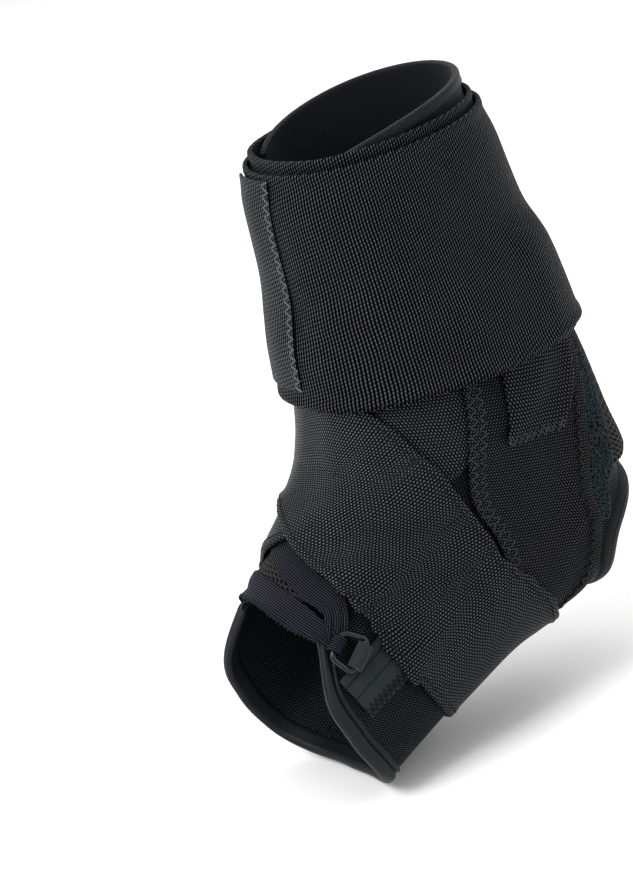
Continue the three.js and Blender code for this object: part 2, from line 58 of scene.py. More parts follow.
# Camera, in metres and degrees. It looks at the outer side of the brace from a little above
# and in front, and it is rolled so that the brace leans to the left in the picture.
PICTURE = (633, 879)                 # pixels
ORIGIN_AT = (448, 419)               # pixel where the frame's origin lands
METRES_PER_PIXEL = 0.00032           # at the origin
CAMERA_DISTANCE = 1.3
CAMERA_AZIMUTH = 62
CAMERA_ELEVATION = 18.5
CAMERA_ROLL = 16
SENSOR = 36                          # millimetres
SHARP_RANGE = (0.05, 50)             # nearest and farthest thing that the camera takes in


def unit(v):
    return v / np.linalg.norm(v, axis=-1, keepdims=True)


def turned(azimuth, elevation, roll=0):
    """Right, up and back directions of something that looks at the origin."""
    a, e, r = np.radians((azimuth, elevation, roll))
    back = np.array([np.sin(a) * np.cos(e), -np.cos(a) * np.cos(e), np.sin(e)])
    level = np.array([np.cos(a), np.sin(a), 0.0])
    upright = np.cross(back, level)
    right = level * np.cos(r) - upright * np.sin(r)
    up = level * np.sin(r) + upright * np.cos(r)
    return right, up, back


def pose(thing, place, right, up, back):
    matrix = np.eye(4)
    matrix[:3, :3] = np.stack([right, up, back], axis=1)
    matrix[:3, 3] = place
    thing.matrix_world = matrix.T


right, up, back = turned(CAMERA_AZIMUTH, CAMERA_ELEVATION, CAMERA_ROLL)
middle = (right * (PICTURE[0] / 2 - ORIGIN_AT[0]) - up * (PICTURE[1] / 2 - ORIGIN_AT[1])) * METRES_PER_PIXEL
station_point = back * CAMERA_DISTANCE
aim_back = unit(station_point - middle)
aim_right = unit(np.cross(up, aim_back))
camera = bpy.data.objects.new("camera", bpy.data.cameras.new("camera"))
bpy.context.scene.collection.objects.link(camera)
camera.data.sensor_fit = "VERTICAL"
camera.data.sensor_height = SENSOR
camera.data.lens = SENSOR * CAMERA_DISTANCE / (PICTURE[1] * METRES_PER_PIXEL)
camera.data.clip_start, camera.data.clip_end = SHARP_RANGE
pose(camera, station_point, aim_right, np.cross(aim_back, aim_right), aim_back)
bpy.context.scene.camera = camera
bpy.context.scene.view_settings.view_transform = "Standard"

# Floor and light: a plain pale floor just under the boot, and large soft lamps on both sides
# with an even white sky, as in a studio.
FLOOR_SIZE = 12
FLOOR_GAP = 0.0008
FLOOR_COLOUR = (0.86, 0.86, 0.86, 1)
FLOOR_ROUGHNESS = 0.9
SKY_STRENGTH = 0.5
LAMPS = [
    # name, azimuth, elevation, distance, size, power
    ("ceiling", 0, 90, 4.0, 6.0, 110),
    ("key", 12, 40, 1.1, 0.5, 10),
    ("side", 112, 30, 1.2, 0.6, 4),
    ("rear", 205, 35, 1.2, 0.8, 5),
    ("inner", -75, 30, 1.3, 0.8, 4),
]

bpy.ops.mesh.primitive_plane_add(size=FLOOR_SIZE, location=(0, 0, cad_box[0][2] - FLOOR_GAP))
floor = bpy.context.object
floor.name = "floor"
paper = bpy.data.materials.new("paper")
paper.use_nodes = True
paper.node_tree.nodes["Principled BSDF"].inputs["Base Color"].default_value = FLOOR_COLOUR
paper.node_tree.nodes["Principled BSDF"].inputs["Roughness"].default_value = FLOOR_ROUGHNESS
floor.data.materials.append(paper)

sky = bpy.data.worlds.new("sky")
sky.use_nodes = True
sky.node_tree.nodes["Background"].inputs["Color"].default_value = (1, 1, 1, 1)
sky.node_tree.nodes["Background"].inputs["Strength"].default_value = SKY_STRENGTH
bpy.context.scene.world = sky
for name, azimuth, elevation, distance, size, power in LAMPS:
    lamp = bpy.data.objects.new(name, bpy.data.lights.new(name, "AREA"))
    lamp.data.energy = power
    lamp.data.size = size
    bpy.context.scene.collection.objects.link(lamp)
    directions = turned(azimuth, elevation)
    pose(lamp, directions[2] * distance, *directions)

# Tongue: a long pad of black spacer mesh down the front, sewn in under the boot's front edges.
# Its knitted faces stand apart on a springy core, and the outer one is an open net.

# All cloth here is laid on one form, at a station, 0 at the top and 1 at the foot opening, and
# at an angle in degrees, 0 in front, 90 on the outer side and 180 behind.
LEG_RISE = 0.128
SOLE_DROP = 0.095
FOOT_REACH = 0.092
HEEL_REACH = 0.052
HALF_WIDTH = 0.035
# y and z of the front and back line are shares of FOOT_REACH or HEEL_REACH and of LEG_RISE or
# SOLE_DROP, by their sign, outer and inner are shares of HALF_WIDTH, widest is where from front
# to back the section is widest, and the last two give how square it is
FORM = np.array([
    # frontY frontZ  backY  backZ  widest outer inner roundF roundB
    [-0.370, 1.000, 0.615, 1.000, 0.50, 0.850, 0.850, 2.1, 2.1],
    [-0.359, 0.820, 0.590, 0.820, 0.50, 0.820, 0.820, 2.1, 2.1],
    [-0.370, 0.625, 0.620, 0.625, 0.50, 0.835, 0.835, 2.1, 2.2],
    [-0.380, 0.430, 0.680, 0.430, 0.50, 0.860, 0.860, 2.2, 2.2],
    [-0.395, 0.235, 0.735, 0.235, 0.50, 0.900, 0.900, 2.2, 2.1],
    [-0.430, 0.094, 0.785, 0.047, 0.50, 0.960, 0.960, 2.2, 2.1],
    [-0.478, 0.000, 0.825, -0.170, 0.50, 0.990, 0.990, 2.2, 2.1],
    [-0.548, -0.079, 0.935, -0.360, 0.50, 0.930, 0.930, 2.2, 2.2],
    [-0.620, -0.137, 0.990, -0.548, 0.50, 0.875, 0.875, 2.2, 2.4],
    [-0.690, -0.190, 0.690, -0.672, 0.52, 0.860, 0.860, 2.2, 2.6],
    [-0.767, -0.242, 0.077, -0.708, 0.55, 0.890, 0.890, 2.2, 2.8],
    [-0.853, -0.300, -0.348, -0.824, 0.58, 0.930, 0.930, 2.2, 3.0],
    [-1.000, -0.400, -0.837, -1.000, 0.60, 0.985, 0.985, 2.2, 3.2],
])
CLEARANCE = 0.00035          # between two layers of cloth
EASE = 0.4                   # steepest rise of a cloth over the edge of another
CELL = 0.0012                # size of a cloth's faces
NEAR_STATION = 0.002
NEAR_ANGLE = 0.5
NEAR_SHARE = 0.01
TRAVEL_STEPS = 6
UPRIGHT = 0.5                # the form's stations up to here stand upright
UPRIGHT_MARKS = 501


def lerp(a, b, t):
    return a + (b - a) * t


def smooth(t):
    t = np.clip(t, 0, 1)
    return t * t * (3 - 2 * t)


def through(rows, t):
    """A smooth line through the rows of a table, at t from 0 to 1 and a little past its ends."""
    rows = np.asarray(rows, float)
    place = np.asarray(t, float) * (len(rows) - 1)
    i = np.clip(np.floor(place).astype(int), 0, len(rows) - 2)
    f = (place - i)[..., None]
    b, c = rows[i], rows[i + 1]
    a = np.where((i > 0)[..., None], rows[np.maximum(i - 1, 0)], 2 * b - c)
    d = np.where((i < len(rows) - 2)[..., None], rows[np.minimum(i + 2, len(rows) - 1)], 2 * c - b)
    cubic = (2 * a - 5 * b + 4 * c - d) * f**2 + (d - a + 3 * (b - c)) * f**3
    return 0.5 * (2 * b + (c - a) * f + cubic)


def form_point(station, angle):
    """Point of the form at a station and an angle."""
    station, angle = np.broadcast_arrays(np.asarray(station, float), np.asarray(angle, float))
    row = through(FORM, station)
    columns = np.moveaxis(row, -1, 0)
    widest, outer, inner, round_front, round_back = columns[4:]
    y = [share * np.where(share < 0, FOOT_REACH, HEEL_REACH) for share in (columns[0], columns[2])]
    z = [share * np.where(share < 0, SOLE_DROP, LEG_RISE) for share in (columns[1], columns[3])]
    front = np.stack([0 * station, y[0], z[0]], -1)
    rear = np.stack([0 * station, y[1], z[1]], -1)
    depth = np.linalg.norm(front - rear, axis=-1)
    forward = (front - rear) / depth[..., None]
    c = np.cos(np.radians(angle))
    s = np.sin(np.radians(angle))
    half = depth * np.where(c >= 0, widest, 1 - widest)
    width = HALF_WIDTH * np.where(s >= 0, outer, inner)
    power = np.where(c >= 0, round_front, round_back)
    radius = (np.abs(c / half) ** power + np.abs(s / width) ** power) ** (-1 / power)
    point = lerp(front, rear, widest[..., None]) + forward * (radius * c)[..., None]
    point[..., 0] += radius * s
    return point


def form_slopes(station, angle):
    """The two directions along the form at a place, per station and per degree."""
    below = form_point(station + NEAR_STATION, angle) - form_point(station - NEAR_STATION, angle)
    aside = form_point(station, angle + NEAR_ANGLE) - form_point(station, angle - NEAR_ANGLE)
    return below / (2 * NEAR_STATION), aside / (2 * NEAR_ANGLE)


def form_normal(station, angle):
    return unit(np.cross(*form_slopes(station, angle)))


def travel(place, direction, distance):
    """A place reached from another by going some metres along a direction on the form."""
    station, angle = (np.array(part, float) for part in place)
    stride = np.asarray(distance, float) / TRAVEL_STEPS
    aim = np.array(direction, float)
    for _ in range(TRAVEL_STEPS):
        below, aside = form_slopes(station, angle)
        normal = unit(np.cross(below, aside))
        aim = unit(aim - normal * (aim * normal).sum(-1, keepdims=True))
        bb, ba, aa = (below * below).sum(-1), (below * aside).sum(-1), (aside * aside).sum(-1)
        determinant = bb * aa - ba * ba
        ab, ar = (aim * below).sum(-1), (aim * aside).sum(-1)
        station = station + stride * (ab * aa - ar * ba) / determinant
        angle = angle + stride * (ar * bb - ab * ba) / determinant
    return station, angle


def station_at(height, angle=0.0):
    """Station at which a line down the upright part of the form is at a height."""
    stations = np.linspace(0, UPRIGHT, UPRIGHT_MARKS)
    return float(np.interp(-height, -form_point(stations, angle)[:, 2], stations))


# The stack: how high the layers stand so far, on a lattice over the whole form
STACK_ROWS = 300
STACK_COLS = 280
SPREAD_ROUNDS = 10
BLUR_ROUNDS = 5
stack = np.zeros((STACK_ROWS, STACK_COLS))
stack_stations = np.linspace(0, 1, STACK_ROWS)
stack_angles = np.arange(STACK_COLS) * 360 / STACK_COLS
stack_points = form_point(*np.meshgrid(stack_stations, stack_angles, indexing="ij"))


def shifted(values, rows, cols):
    """The lattice moved by some rows and columns. It closes round the form, and its ends repeat."""
    moved = np.roll(values, cols, axis=1)
    if rows == 0:
        return moved
    order = np.clip(np.arange(STACK_ROWS) - rows, 0, STACK_ROWS - 1)
    return moved[order]


def laid(stiff=1):
    """Height that a cloth laid over the stack takes: it eases over edges and never sinks in. A
    stiffer one bridges more widely."""
    bed = stack.copy()
    steps = [(0, 1), (0, -1), (1, 0), (-1, 0), (1, 1), (1, -1), (-1, 1), (-1, -1)]
    gaps = {step: np.linalg.norm(shifted(stack_points, *step) - stack_points, axis=-1) for step in steps}
    for _ in range(SPREAD_ROUNDS):
        for step in steps:
            bed = np.maximum(bed, shifted(bed, *step) - EASE * gaps[step])
    for _ in range(stiff):
        bed = np.max([bed, *(shifted(bed, *step) for step in steps)], axis=0)
        for _ in range(BLUR_ROUNDS):
            bed = (bed * 2 + sum(shifted(bed, *step) for step in steps[:4])) / 6
    return bed + CLEARANCE


def taut(low, closed, rounds):
    """Heights of a cloth pulled tight over its bed, so that it bridges the small hollows."""
    tight = low
    for _ in range(rounds):
        ends = np.pad(tight, ((1, 1), (0, 0)), "edge")
        sides = np.pad(tight, ((0, 0), (1, 1)), "wrap" if closed else "edge")
        tight = np.maximum(low, (ends[2:] + ends[:-2] + sides[:, 2:] + sides[:, :-2]) / 4)
    return tight


FLATTEN_ROUNDS = 400
FLATTEN_PACE = 0.3


def flattened(points, start):
    """The flat cut of a cloth, found by easing a first guess of it till its threads fit."""
    flat = start.copy()
    rows, cols = flat.shape[:2]
    pairs = []
    for i, j in ((0, 1), (1, 0), (1, 1), (1, -1)):
        here = (slice(0, rows - i), slice(max(0, -j), cols - max(0, j)))
        there = (slice(i, rows), slice(max(0, j), cols - max(0, -j)))
        pairs.append((here, there, np.linalg.norm(points[there] - points[here], axis=-1)))
    for _ in range(FLATTEN_ROUNDS):
        move = np.zeros_like(flat)
        for here, there, goal in pairs:
            gap = flat[there] - flat[here]
            size = np.maximum(np.linalg.norm(gap, axis=-1), 1e-9)
            pull = gap * ((size - goal) / size / 2)[..., None]
            move[here] += pull
            move[there] -= pull
        flat += move * FLATTEN_PACE
    return flat


def read(values, station, angle):
    """A smooth reading of the lattice at places."""
    row = np.clip(station, 0, 1) * (STACK_ROWS - 1)
    col = np.mod(angle, 360) / 360 * STACK_COLS
    i = np.minimum(row.astype(int), STACK_ROWS - 2)
    j = col.astype(int) % STACK_COLS
    k = (j + 1) % STACK_COLS
    f, g = row - i, col - np.floor(col)
    return lerp(lerp(values[i, j], values[i, k], g), lerp(values[i + 1, j], values[i + 1, k], g), f)


def raise_stack(station, angle, height):
    row = np.clip(station, 0, 1) * (STACK_ROWS - 1)
    col = np.mod(angle, 360) / 360 * STACK_COLS
    for i in (np.floor(row).astype(int), np.ceil(row).astype(int)):
        for j in (np.floor(col).astype(int) % STACK_COLS, np.ceil(col).astype(int) % STACK_COLS):
            np.maximum.at(stack, (i, j), height)


# Places of a patch, for s across it and t along it, both from 0 to 1
def down(rows):
    """A patch that runs down the form between two angles at each station."""
    def place(s, t):
        station, first, last = np.moveaxis(through(rows, t), -1, 0)
        return station, lerp(first, last, s)
    return place


def around(first, last, upper, lower):
    """A patch that runs round the form between two edges, each a function of the angle."""
    def place(s, t):
        angle = lerp(first, last, s)
        high, low = upper(angle), lower(angle)
        return lerp(high[0], low[0], t), lerp(high[1], low[1], t)
    return place


def strip(path, width):
    """A patch that follows a path. Its width is a function of how far along it is."""
    def place(s, t):
        station, angle = np.moveaxis(through(path, t), -1, 0)
        before = form_point(*np.moveaxis(through(path, t - NEAR_SHARE), -1, 0))
        along = form_point(*np.moveaxis(through(path, t + NEAR_SHARE), -1, 0)) - before
        across = np.cross(form_normal(station, angle), along)
        return travel((station, angle), across, width(t) * (s - 0.5))
    return place


def mirrored(rows):
    """The same rows on the other side of the brace."""
    return [[row[0], *(360 - angle for angle in reversed(row[1:]))] for row in rows]


def lengths(points, axis):
    """Distance along a grid of points from its first row or column."""
    steps = np.linalg.norm(np.diff(points, axis=axis), axis=-1)
    start = np.zeros_like(np.take(steps, [0], axis=axis))
    return np.concatenate([start, np.cumsum(steps, axis=axis)], axis=axis)


EDGE_DEPTH = 0.6                         # depth of the round of an edge, as a share of the wall
EDGE_SHARES = (0, 0.06, 0.25, 0.6, 1)    # where the round of an edge has its rows
EDGE_BLUNT = 0.15                        # flat part of an edge, as a share of the wall
ROUGH_STEPS = 41                         # grid on which a patch is first measured


def samples(length, edge, cell, closed):
    """Shares at which a patch is sampled: even in its middle and close together at its edges."""
    count = max(2, int(round(length / cell)))
    if closed:
        return np.arange(count) / count
    near = [share * edge / length for share in EDGE_SHARES]
    inner = np.linspace(near[-1], 1 - near[-1], max(2, count))
    return np.concatenate([near[:-1], inner, [1 - share for share in reversed(near[:-1])]])


def cloth(place, wall, closed=False, bed=None, relief=None, thickness=None, cell=CELL, holes=None, pull=8):
    """A cloth with round edges, laid on the stack. relief(across, along, width, length) lifts its
    outer face, thickness(s, t) is a share of the wall, and holes(station, angle) is true where
    it is cut away. The distances across and along it are kept, in metres."""
    rough = np.linspace(0, 1, ROUGH_STEPS)
    points = form_point(*place(*np.meshgrid(rough, rough)))
    edge = EDGE_DEPTH * wall
    s_list = samples(lengths(points, 1)[:, -1].mean(), edge, cell, closed)
    t_list = samples(lengths(points, 0)[-1].mean(), edge, cell, False)
    s, t = np.meshgrid(s_list, t_list)
    station, angle = place(s, t)
    normal = form_normal(station, angle)
    base = form_point(station, angle)
    low = taut(read(laid() if bed is None else bed, station, angle), closed, pull)
    walls = wall * (thickness(s, t) if thickness else 1)
    laid_points = base + normal * (low + walls / 2)[..., None]
    ends = np.concatenate([laid_points, laid_points[:, :1]], axis=1) if closed else laid_points
    all_across, all_along = lengths(ends, 1), lengths(ends, 0)
    across, along = all_across[:, :len(s_list)], all_along[:, :len(s_list)]
    width, length = all_across[:, -1:], along[-1:]
    inset = np.minimum(along, length - along)
    if not closed:
        inset = np.minimum(inset, np.minimum(across, width - across))
    fall = 1 - np.clip(inset / edge, 0, 1)
    half = walls / 2 * (EDGE_BLUNT + (1 - EDGE_BLUNT) * np.sqrt(1 - fall**2))
    raised = relief(across, along, width, length) if relief else 0
    outer_height = low + walls / 2 + half + raised
    outer = base + normal * outer_height[..., None]
    inner = base + normal * (low + walls / 2 - half)[..., None]
    keep = np.ones((len(t_list) - 1, ends.shape[1] - 1), bool)
    shown = np.ones(s.shape, bool)
    if holes:
        gone = holes(station, angle)
        shown = ~gone
        keep = ~(gone[:-1, :-1] & gone[1:, 1:])
    raise_stack(station[shown], angle[shown], outer_height[shown])
    chart_across = np.append(s_list, 1.0) * width.mean() if closed else across - width / 2
    chart_along = all_along.mean(axis=1, keepdims=True)
    chart = np.stack(np.broadcast_arrays(chart_across, chart_along), -1)
    return SimpleNamespace(outer=outer, inner=inner, normal=normal, keep=keep, closed=closed, chart=chart,
                           across=across, along=along, station=station,
                           width=float(width.max()), length=float(length.max()))


def piece(name, parts, material, node):
    """One object of closed shells, one for each cloth, that replaces a node of the frame."""
    verts, faces, charts = [], [], []
    first = 0
    for part in parts:
        rows, cols = part.outer.shape[:2]
        span = part.keep.shape[1] + 1
        i, j = np.nonzero(part.keep)
        corner = np.stack([i * span + j, (i + 1) * span + j, (i + 1) * span + j + 1, i * span + j + 1], 1)
        edges = np.concatenate([corner[:, [k, (k + 1) % 4]] for k in range(4)])
        vertex = (np.arange(rows * span) // span) * cols + (np.arange(rows * span) % span) % cols
        ends = vertex[edges]
        code = ends.min(1) * rows * cols + ends.max(1)
        _, index, uses = np.unique(code, return_index=True, return_counts=True)
        rim = edges[index[uses == 1]]
        count = rows * cols
        outer_ids, inner_ids = first + vertex, first + count + vertex
        faces += [outer_ids[corner], inner_ids[corner[:, ::-1]],
                  np.stack([outer_ids[rim[:, 1]], outer_ids[rim[:, 0]],
                            inner_ids[rim[:, 0]], inner_ids[rim[:, 1]]], 1)]
        chart = part.chart.reshape(-1, 2)
        charts += [chart[corner], chart[corner[:, ::-1]], chart[rim[:, [1, 0, 0, 1]]]]
        verts += [part.outer.reshape(-1, 3), part.inner.reshape(-1, 3)]
        first += 2 * count
    verts, faces, charts = np.concatenate(verts), np.concatenate(faces), np.concatenate(charts)
    used, faces = np.unique(faces, return_inverse=True)
    mesh = bpy.data.meshes.new(name)
    mesh.from_pydata(verts[used].tolist(), [], faces.reshape(-1, 4).tolist())
    layer = mesh.uv_layers.new(name="cloth")
    layer.data.foreach_set("uv", charts.astype(np.float32).ravel())
    mesh.shade_smooth()
    mesh.materials.append(material)
    made = bpy.data.objects.new(name, mesh)
    bpy.context.scene.collection.objects.link(made)
    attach(made, "root")
    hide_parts(node)
    return made


# Materials are built from the yarns' pattern over the cloth's own chart, in metres, with painted highlights
# on the yarns' crowns and painted shade between them
def add_node(tree, kind, inputs=None, **settings):
    made = tree.nodes.new(kind)
    for key, value in settings.items():
        setattr(made, key, value)
    for key, value in (inputs or {}).items():
        if isinstance(value, bpy.types.NodeSocket):
            tree.links.new(value, made.inputs[key])
        else:
            made.inputs[key].default_value = value
    return made


def calc(tree, operation, *values):
    return add_node(tree, "ShaderNodeMath", dict(enumerate(values)), operation=operation).outputs[0]


def wave(tree, value):
    """A wave from 0 to 1 that is highest where the value is whole."""
    turn = calc(tree, "COSINE", calc(tree, "MULTIPLY", value, 2 * np.pi))
    return calc(tree, "MULTIPLY_ADD", turn, 0.5, 0.5)


YARN_WANDER = 0.7            # how far a row of yarns strays, in yarns
WANDER_SCALE = 0.12          # strays in a yarn's width
STRAND_SCALE = 1.9           # strands in a yarn's width
STRAND_SHADE = (0.2, 1.6)    # lightness of the darkest strand, and how much more the lightest has
STRAND_HEIGHT = 0.25
WEAR_SCALE = 70.0            # patches of wear in a metre
SHEEN_ROUGHNESS = 0.4


def fabric(name, pattern, pitch, dark, light, roughness, depth, turn=0, sheen=0.0, specular=0.4,
           mottle=0.35):
    """A cloth's material. pattern(tree, x, y) gives the height of its yarns and a painted highlight on
    their crowns, both from 0 to 1, with x across and y along the cloth counted in yarns; for suede that
    second value is a random tone instead. dark is the colour between the yarns, painted shade, and light
    the colour of a crown under its painted highlight."""
    material = bpy.data.materials.new(name)
    material.use_nodes = True
    tree = material.node_tree
    shader = tree.nodes["Principled BSDF"]
    chart = add_node(tree, "ShaderNodeUVMap", uv_map="cloth")
    spun = add_node(tree, "ShaderNodeMapping", {
        "Vector": chart.outputs["UV"], "Rotation": (0, 0, np.radians(turn)),
    })
    scaled = add_node(tree, "ShaderNodeMapping", {
        "Vector": spun.outputs[0], "Scale": (1 / pitch[0], 1 / pitch[1], 1),
    })
    bend = add_node(tree, "ShaderNodeTexNoise", {
        "Vector": scaled.outputs[0], "Scale": WANDER_SCALE, "Detail": 1.0,
    })
    strand = add_node(tree, "ShaderNodeTexNoise", {
        "Vector": scaled.outputs[0], "Scale": STRAND_SCALE, "Detail": 3.0,
    })
    wander = add_node(tree, "ShaderNodeVectorMath", {
        0: bend.outputs["Color"], 1: (YARN_WANDER, YARN_WANDER, 0), 2: scaled.outputs[0],
    }, operation="MULTIPLY_ADD")
    parts = add_node(tree, "ShaderNodeSeparateXYZ", {0: wander.outputs[0]})
    height, painted_highlight_and_tone = pattern(tree, parts.outputs[0], parts.outputs[1])
    place = add_node(tree, "ShaderNodeTexCoord")
    wear = add_node(tree, "ShaderNodeTexNoise", {
        "Vector": place.outputs["Object"], "Scale": WEAR_SCALE, "Detail": 4.0, "Roughness": 0.6,
    })
    shade = calc(tree, "MULTIPLY_ADD", wear.outputs[0], 2 * mottle, 1 - mottle)
    grain = calc(tree, "MULTIPLY_ADD", strand.outputs[0], STRAND_SHADE[1], STRAND_SHADE[0])
    # Base colour: painted highlight on the yarns' crowns and painted shade between them, with random
    # strands and wear
    mixed = add_node(tree, "ShaderNodeMix", {
        "Factor": calc(tree, "MULTIPLY", calc(tree, "MULTIPLY", painted_highlight_and_tone, grain), shade),
    }, data_type="RGBA")
    mixed.inputs[6].default_value = (*dark, 1)
    mixed.inputs[7].default_value = (*light, 1)
    bump = add_node(tree, "ShaderNodeBump", {
        "Height": calc(tree, "MULTIPLY_ADD", strand.outputs[0], STRAND_HEIGHT, height), "Distance": depth,
    })
    tree.links.new(mixed.outputs[2], shader.inputs["Base Color"])
    tree.links.new(bump.outputs[0], shader.inputs["Normal"])
    shader.inputs["Roughness"].default_value = roughness
    gloss = calc(tree, "MULTIPLY", painted_highlight_and_tone, specular)
    tree.links.new(gloss, shader.inputs["Specular IOR Level"])
    shader.inputs["Sheen Weight"].default_value = sheen
    shader.inputs["Sheen Roughness"].default_value = SHEEN_ROUGHNESS
    return material


LOOP_DIP = 0.6               # depth between two loops of a knit, as a share of their height
LOOP_SHARP = 1.5             # how narrow the painted highlight on a loop is


def knit(tree, x, y):
    """Columns of small loops, each column half a loop out of step with the next, with a painted highlight
    on each loop's crown.
    """
    step = calc(tree, "MULTIPLY", calc(tree, "FLOOR", calc(tree, "ADD", x, 0.5)), 0.5)
    loop = wave(tree, calc(tree, "ADD", y, step))
    rise = calc(tree, "MULTIPLY_ADD", loop, LOOP_DIP, 1 - LOOP_DIP)
    height = calc(tree, "MULTIPLY", wave(tree, x), rise)
    return height, calc(tree, "POWER", height, LOOP_SHARP)


TONGUE_WALL = 0.0024
TONGUE = [
    # station, angles of its two edges
    [0.12, -34, 34],
    [0.38, -32, 32],
    [0.65, -28, 28],
    [0.90, -20, 24],
]
NET_PITCH = 0.0031
NET_THREAD = 0.00065
TONGUE_NET_INSET = 0.002
THREAD_SIDES = 6
THREAD_SHADE = 0.35          # lightness of the painted shade between a thread's twists
TWIST_SCALE = 2500.0         # twists in a metre
spacer_knit = fabric("spacer_knit", knit, (0.0009, 0.0009), (0.0004, 0.0004, 0.0004), (0.012, 0.011, 0.011),
                     0.85, 0.0003)


def tree_of(name, inputs):
    """An empty tree of Geometry Nodes with named inputs."""
    tree = bpy.data.node_groups.new(name, "GeometryNodeTree")
    tree.interface.new_socket("Geometry", in_out="INPUT", socket_type="NodeSocketGeometry")
    for label, kind in inputs.items():
        tree.interface.new_socket(label, in_out="INPUT", socket_type="NodeSocket" + kind)
    tree.interface.new_socket("Geometry", in_out="OUTPUT", socket_type="NodeSocketGeometry")
    return tree, tree.nodes.new("NodeGroupInput"), tree.nodes.new("NodeGroupOutput")


def tube_end(tree, source, target, curve):
    """Closes a tree: a round thread along the curves, made real and given its material."""
    ring = add_node(tree, "GeometryNodeCurvePrimitiveCircle", {
        "Resolution": THREAD_SIDES, "Radius": source.outputs["Thread"],
    })
    tube = add_node(tree, "GeometryNodeCurveToMesh", {"Curve": curve, "Profile Curve": ring.outputs[0]})
    real = add_node(tree, "GeometryNodeRealizeInstances", {"Geometry": tube.outputs[0]})
    named = add_node(tree, "GeometryNodeSetMaterial", {
        "Geometry": real.outputs[0], "Material": source.outputs["Material"],
    })
    tree.links.new(named.outputs[0], target.inputs[0])


def grown(name, guide, tree, values):
    """The plain mesh that a tree makes of a guide. values are the tree's inputs by their names."""
    holder = bpy.data.objects.new(name + "_guide", guide)
    bpy.context.scene.collection.objects.link(holder)
    modifier = holder.modifiers.new("made", "NODES")
    modifier.node_group = tree
    for item in tree.interface.items_tree:
        if item.item_type == "SOCKET" and item.name in values:
            modifier[item.identifier] = values[item.name]
    graph = bpy.context.evaluated_depsgraph_get()
    result = bpy.data.meshes.new_from_object(holder.evaluated_get(graph), preserve_all_data_layers=True,
                                             depsgraph=graph)
    result.name = name
    result.shade_smooth()
    bpy.data.objects.remove(holder)
    made = bpy.data.objects.new(name, result)
    bpy.context.scene.collection.objects.link(made)
    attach(made, "root")
    return made


net_tree, net_in, net_out = tree_of("open_knit", {"Thread": "Float", "Material": "Material"})
net_split = add_node(net_tree, "GeometryNodeTriangulate", {"Mesh": net_in.outputs["Geometry"]})
net_split.quad_method = "FIXED"
net_cells = add_node(net_tree, "GeometryNodeDualMesh", {"Mesh": net_split.outputs[0]})
net_lines = add_node(net_tree, "GeometryNodeMeshToCurve", {"Mesh": net_cells.outputs[0]})
tube_end(net_tree, net_in, net_out, net_lines.outputs[0])


def plain_thread(name, colour):
    """A thread's material, with painted shade for the grooves between its twists, laid out as random noise.
    """
    material = bpy.data.materials.new(name)
    material.use_nodes = True
    tree = material.node_tree
    shader = tree.nodes["Principled BSDF"]
    place = add_node(tree, "ShaderNodeTexCoord")
    twist = add_node(tree, "ShaderNodeTexNoise", {"Vector": place.outputs["Object"], "Scale": TWIST_SCALE})
    ramp = add_node(tree, "ShaderNodeMix", {"Factor": twist.outputs[0]}, data_type="RGBA")
    ramp.inputs[6].default_value = (*(THREAD_SHADE * c for c in colour), 1)
    ramp.inputs[7].default_value = (*colour, 1)
    tree.links.new(ramp.outputs[2], shader.inputs["Base Color"])
    shader.inputs["Roughness"].default_value = 0.6
    shader.inputs["Specular IOR Level"].default_value = 0.15
    return material


def open_knit(name, part, inset, material):
    """The open face of a spacer mesh: a net of thick knitted yarn over the pad's outer side."""
    width, length = part.width - 2 * inset, part.length - 2 * inset
    cols, rows = int(width / NET_PITCH), int(length / NET_PITCH)
    rows_at = np.linspace(inset, part.length - inset, rows + 1) / part.length * (len(part.outer) - 1)
    cols_at = np.linspace(inset, part.width - inset, cols + 1) / part.width * (part.outer.shape[1] - 1)
    i = np.minimum(rows_at.astype(int), len(part.outer) - 2)[:, None]
    j = np.minimum(cols_at.astype(int), part.outer.shape[1] - 2)[None, :]
    f, g = rows_at[:, None, None] - i[..., None], cols_at[None, :, None] - j[..., None]
    points = lerp(lerp(part.outer[i, j], part.outer[i, j + 1], g),
                  lerp(part.outer[i + 1, j], part.outer[i + 1, j + 1], g), f)
    points = points + part.normal[i, j] * NET_THREAD * 0.5
    grid = np.arange((rows + 1) * (cols + 1)).reshape(rows + 1, cols + 1)
    faces = np.stack([grid[:-1, :-1], grid[1:, :-1], grid[1:, 1:], grid[:-1, 1:]], -1).reshape(-1, 4)
    guide = bpy.data.meshes.new(name + "_guide")
    guide.from_pydata(points.reshape(-1, 3).tolist(), [], faces.tolist())
    return grown(name, guide, net_tree, {"Thread": NET_THREAD, "Material": material})


tongue_part = cloth(down(TONGUE), TONGUE_WALL)
tongue = piece("tongue_pad", [tongue_part], spacer_knit, "tongue")
mesh_yarn = plain_thread("mesh_yarn", (0.014, 0.012, 0.013))
open_knit("tongue_face", tongue_part, TONGUE_NET_INSET, mesh_yarn)

# Collar: a smooth stretch cloth that lines the top of the boot and stands above the cuff behind.
# Its upper edge is turned over and sewn down.
CUFF_TOP = 0.099
BOOT_TOP = 0.082
COLLAR_WALL = 0.0016
COLLAR_RISE = 0.011
COLLAR_LAP = 0.014
COLLAR_FRONT = 40
COLLAR_ROUND = 0.6
COLLAR_MARKS = 401
HEM = 0.0045                 # depth of a turned edge
HEM_RISE = 0.0007
HEM_SLOPE = 0.0006
HEM_SEAM = 0.001             # from the hem's cut edge to its seam


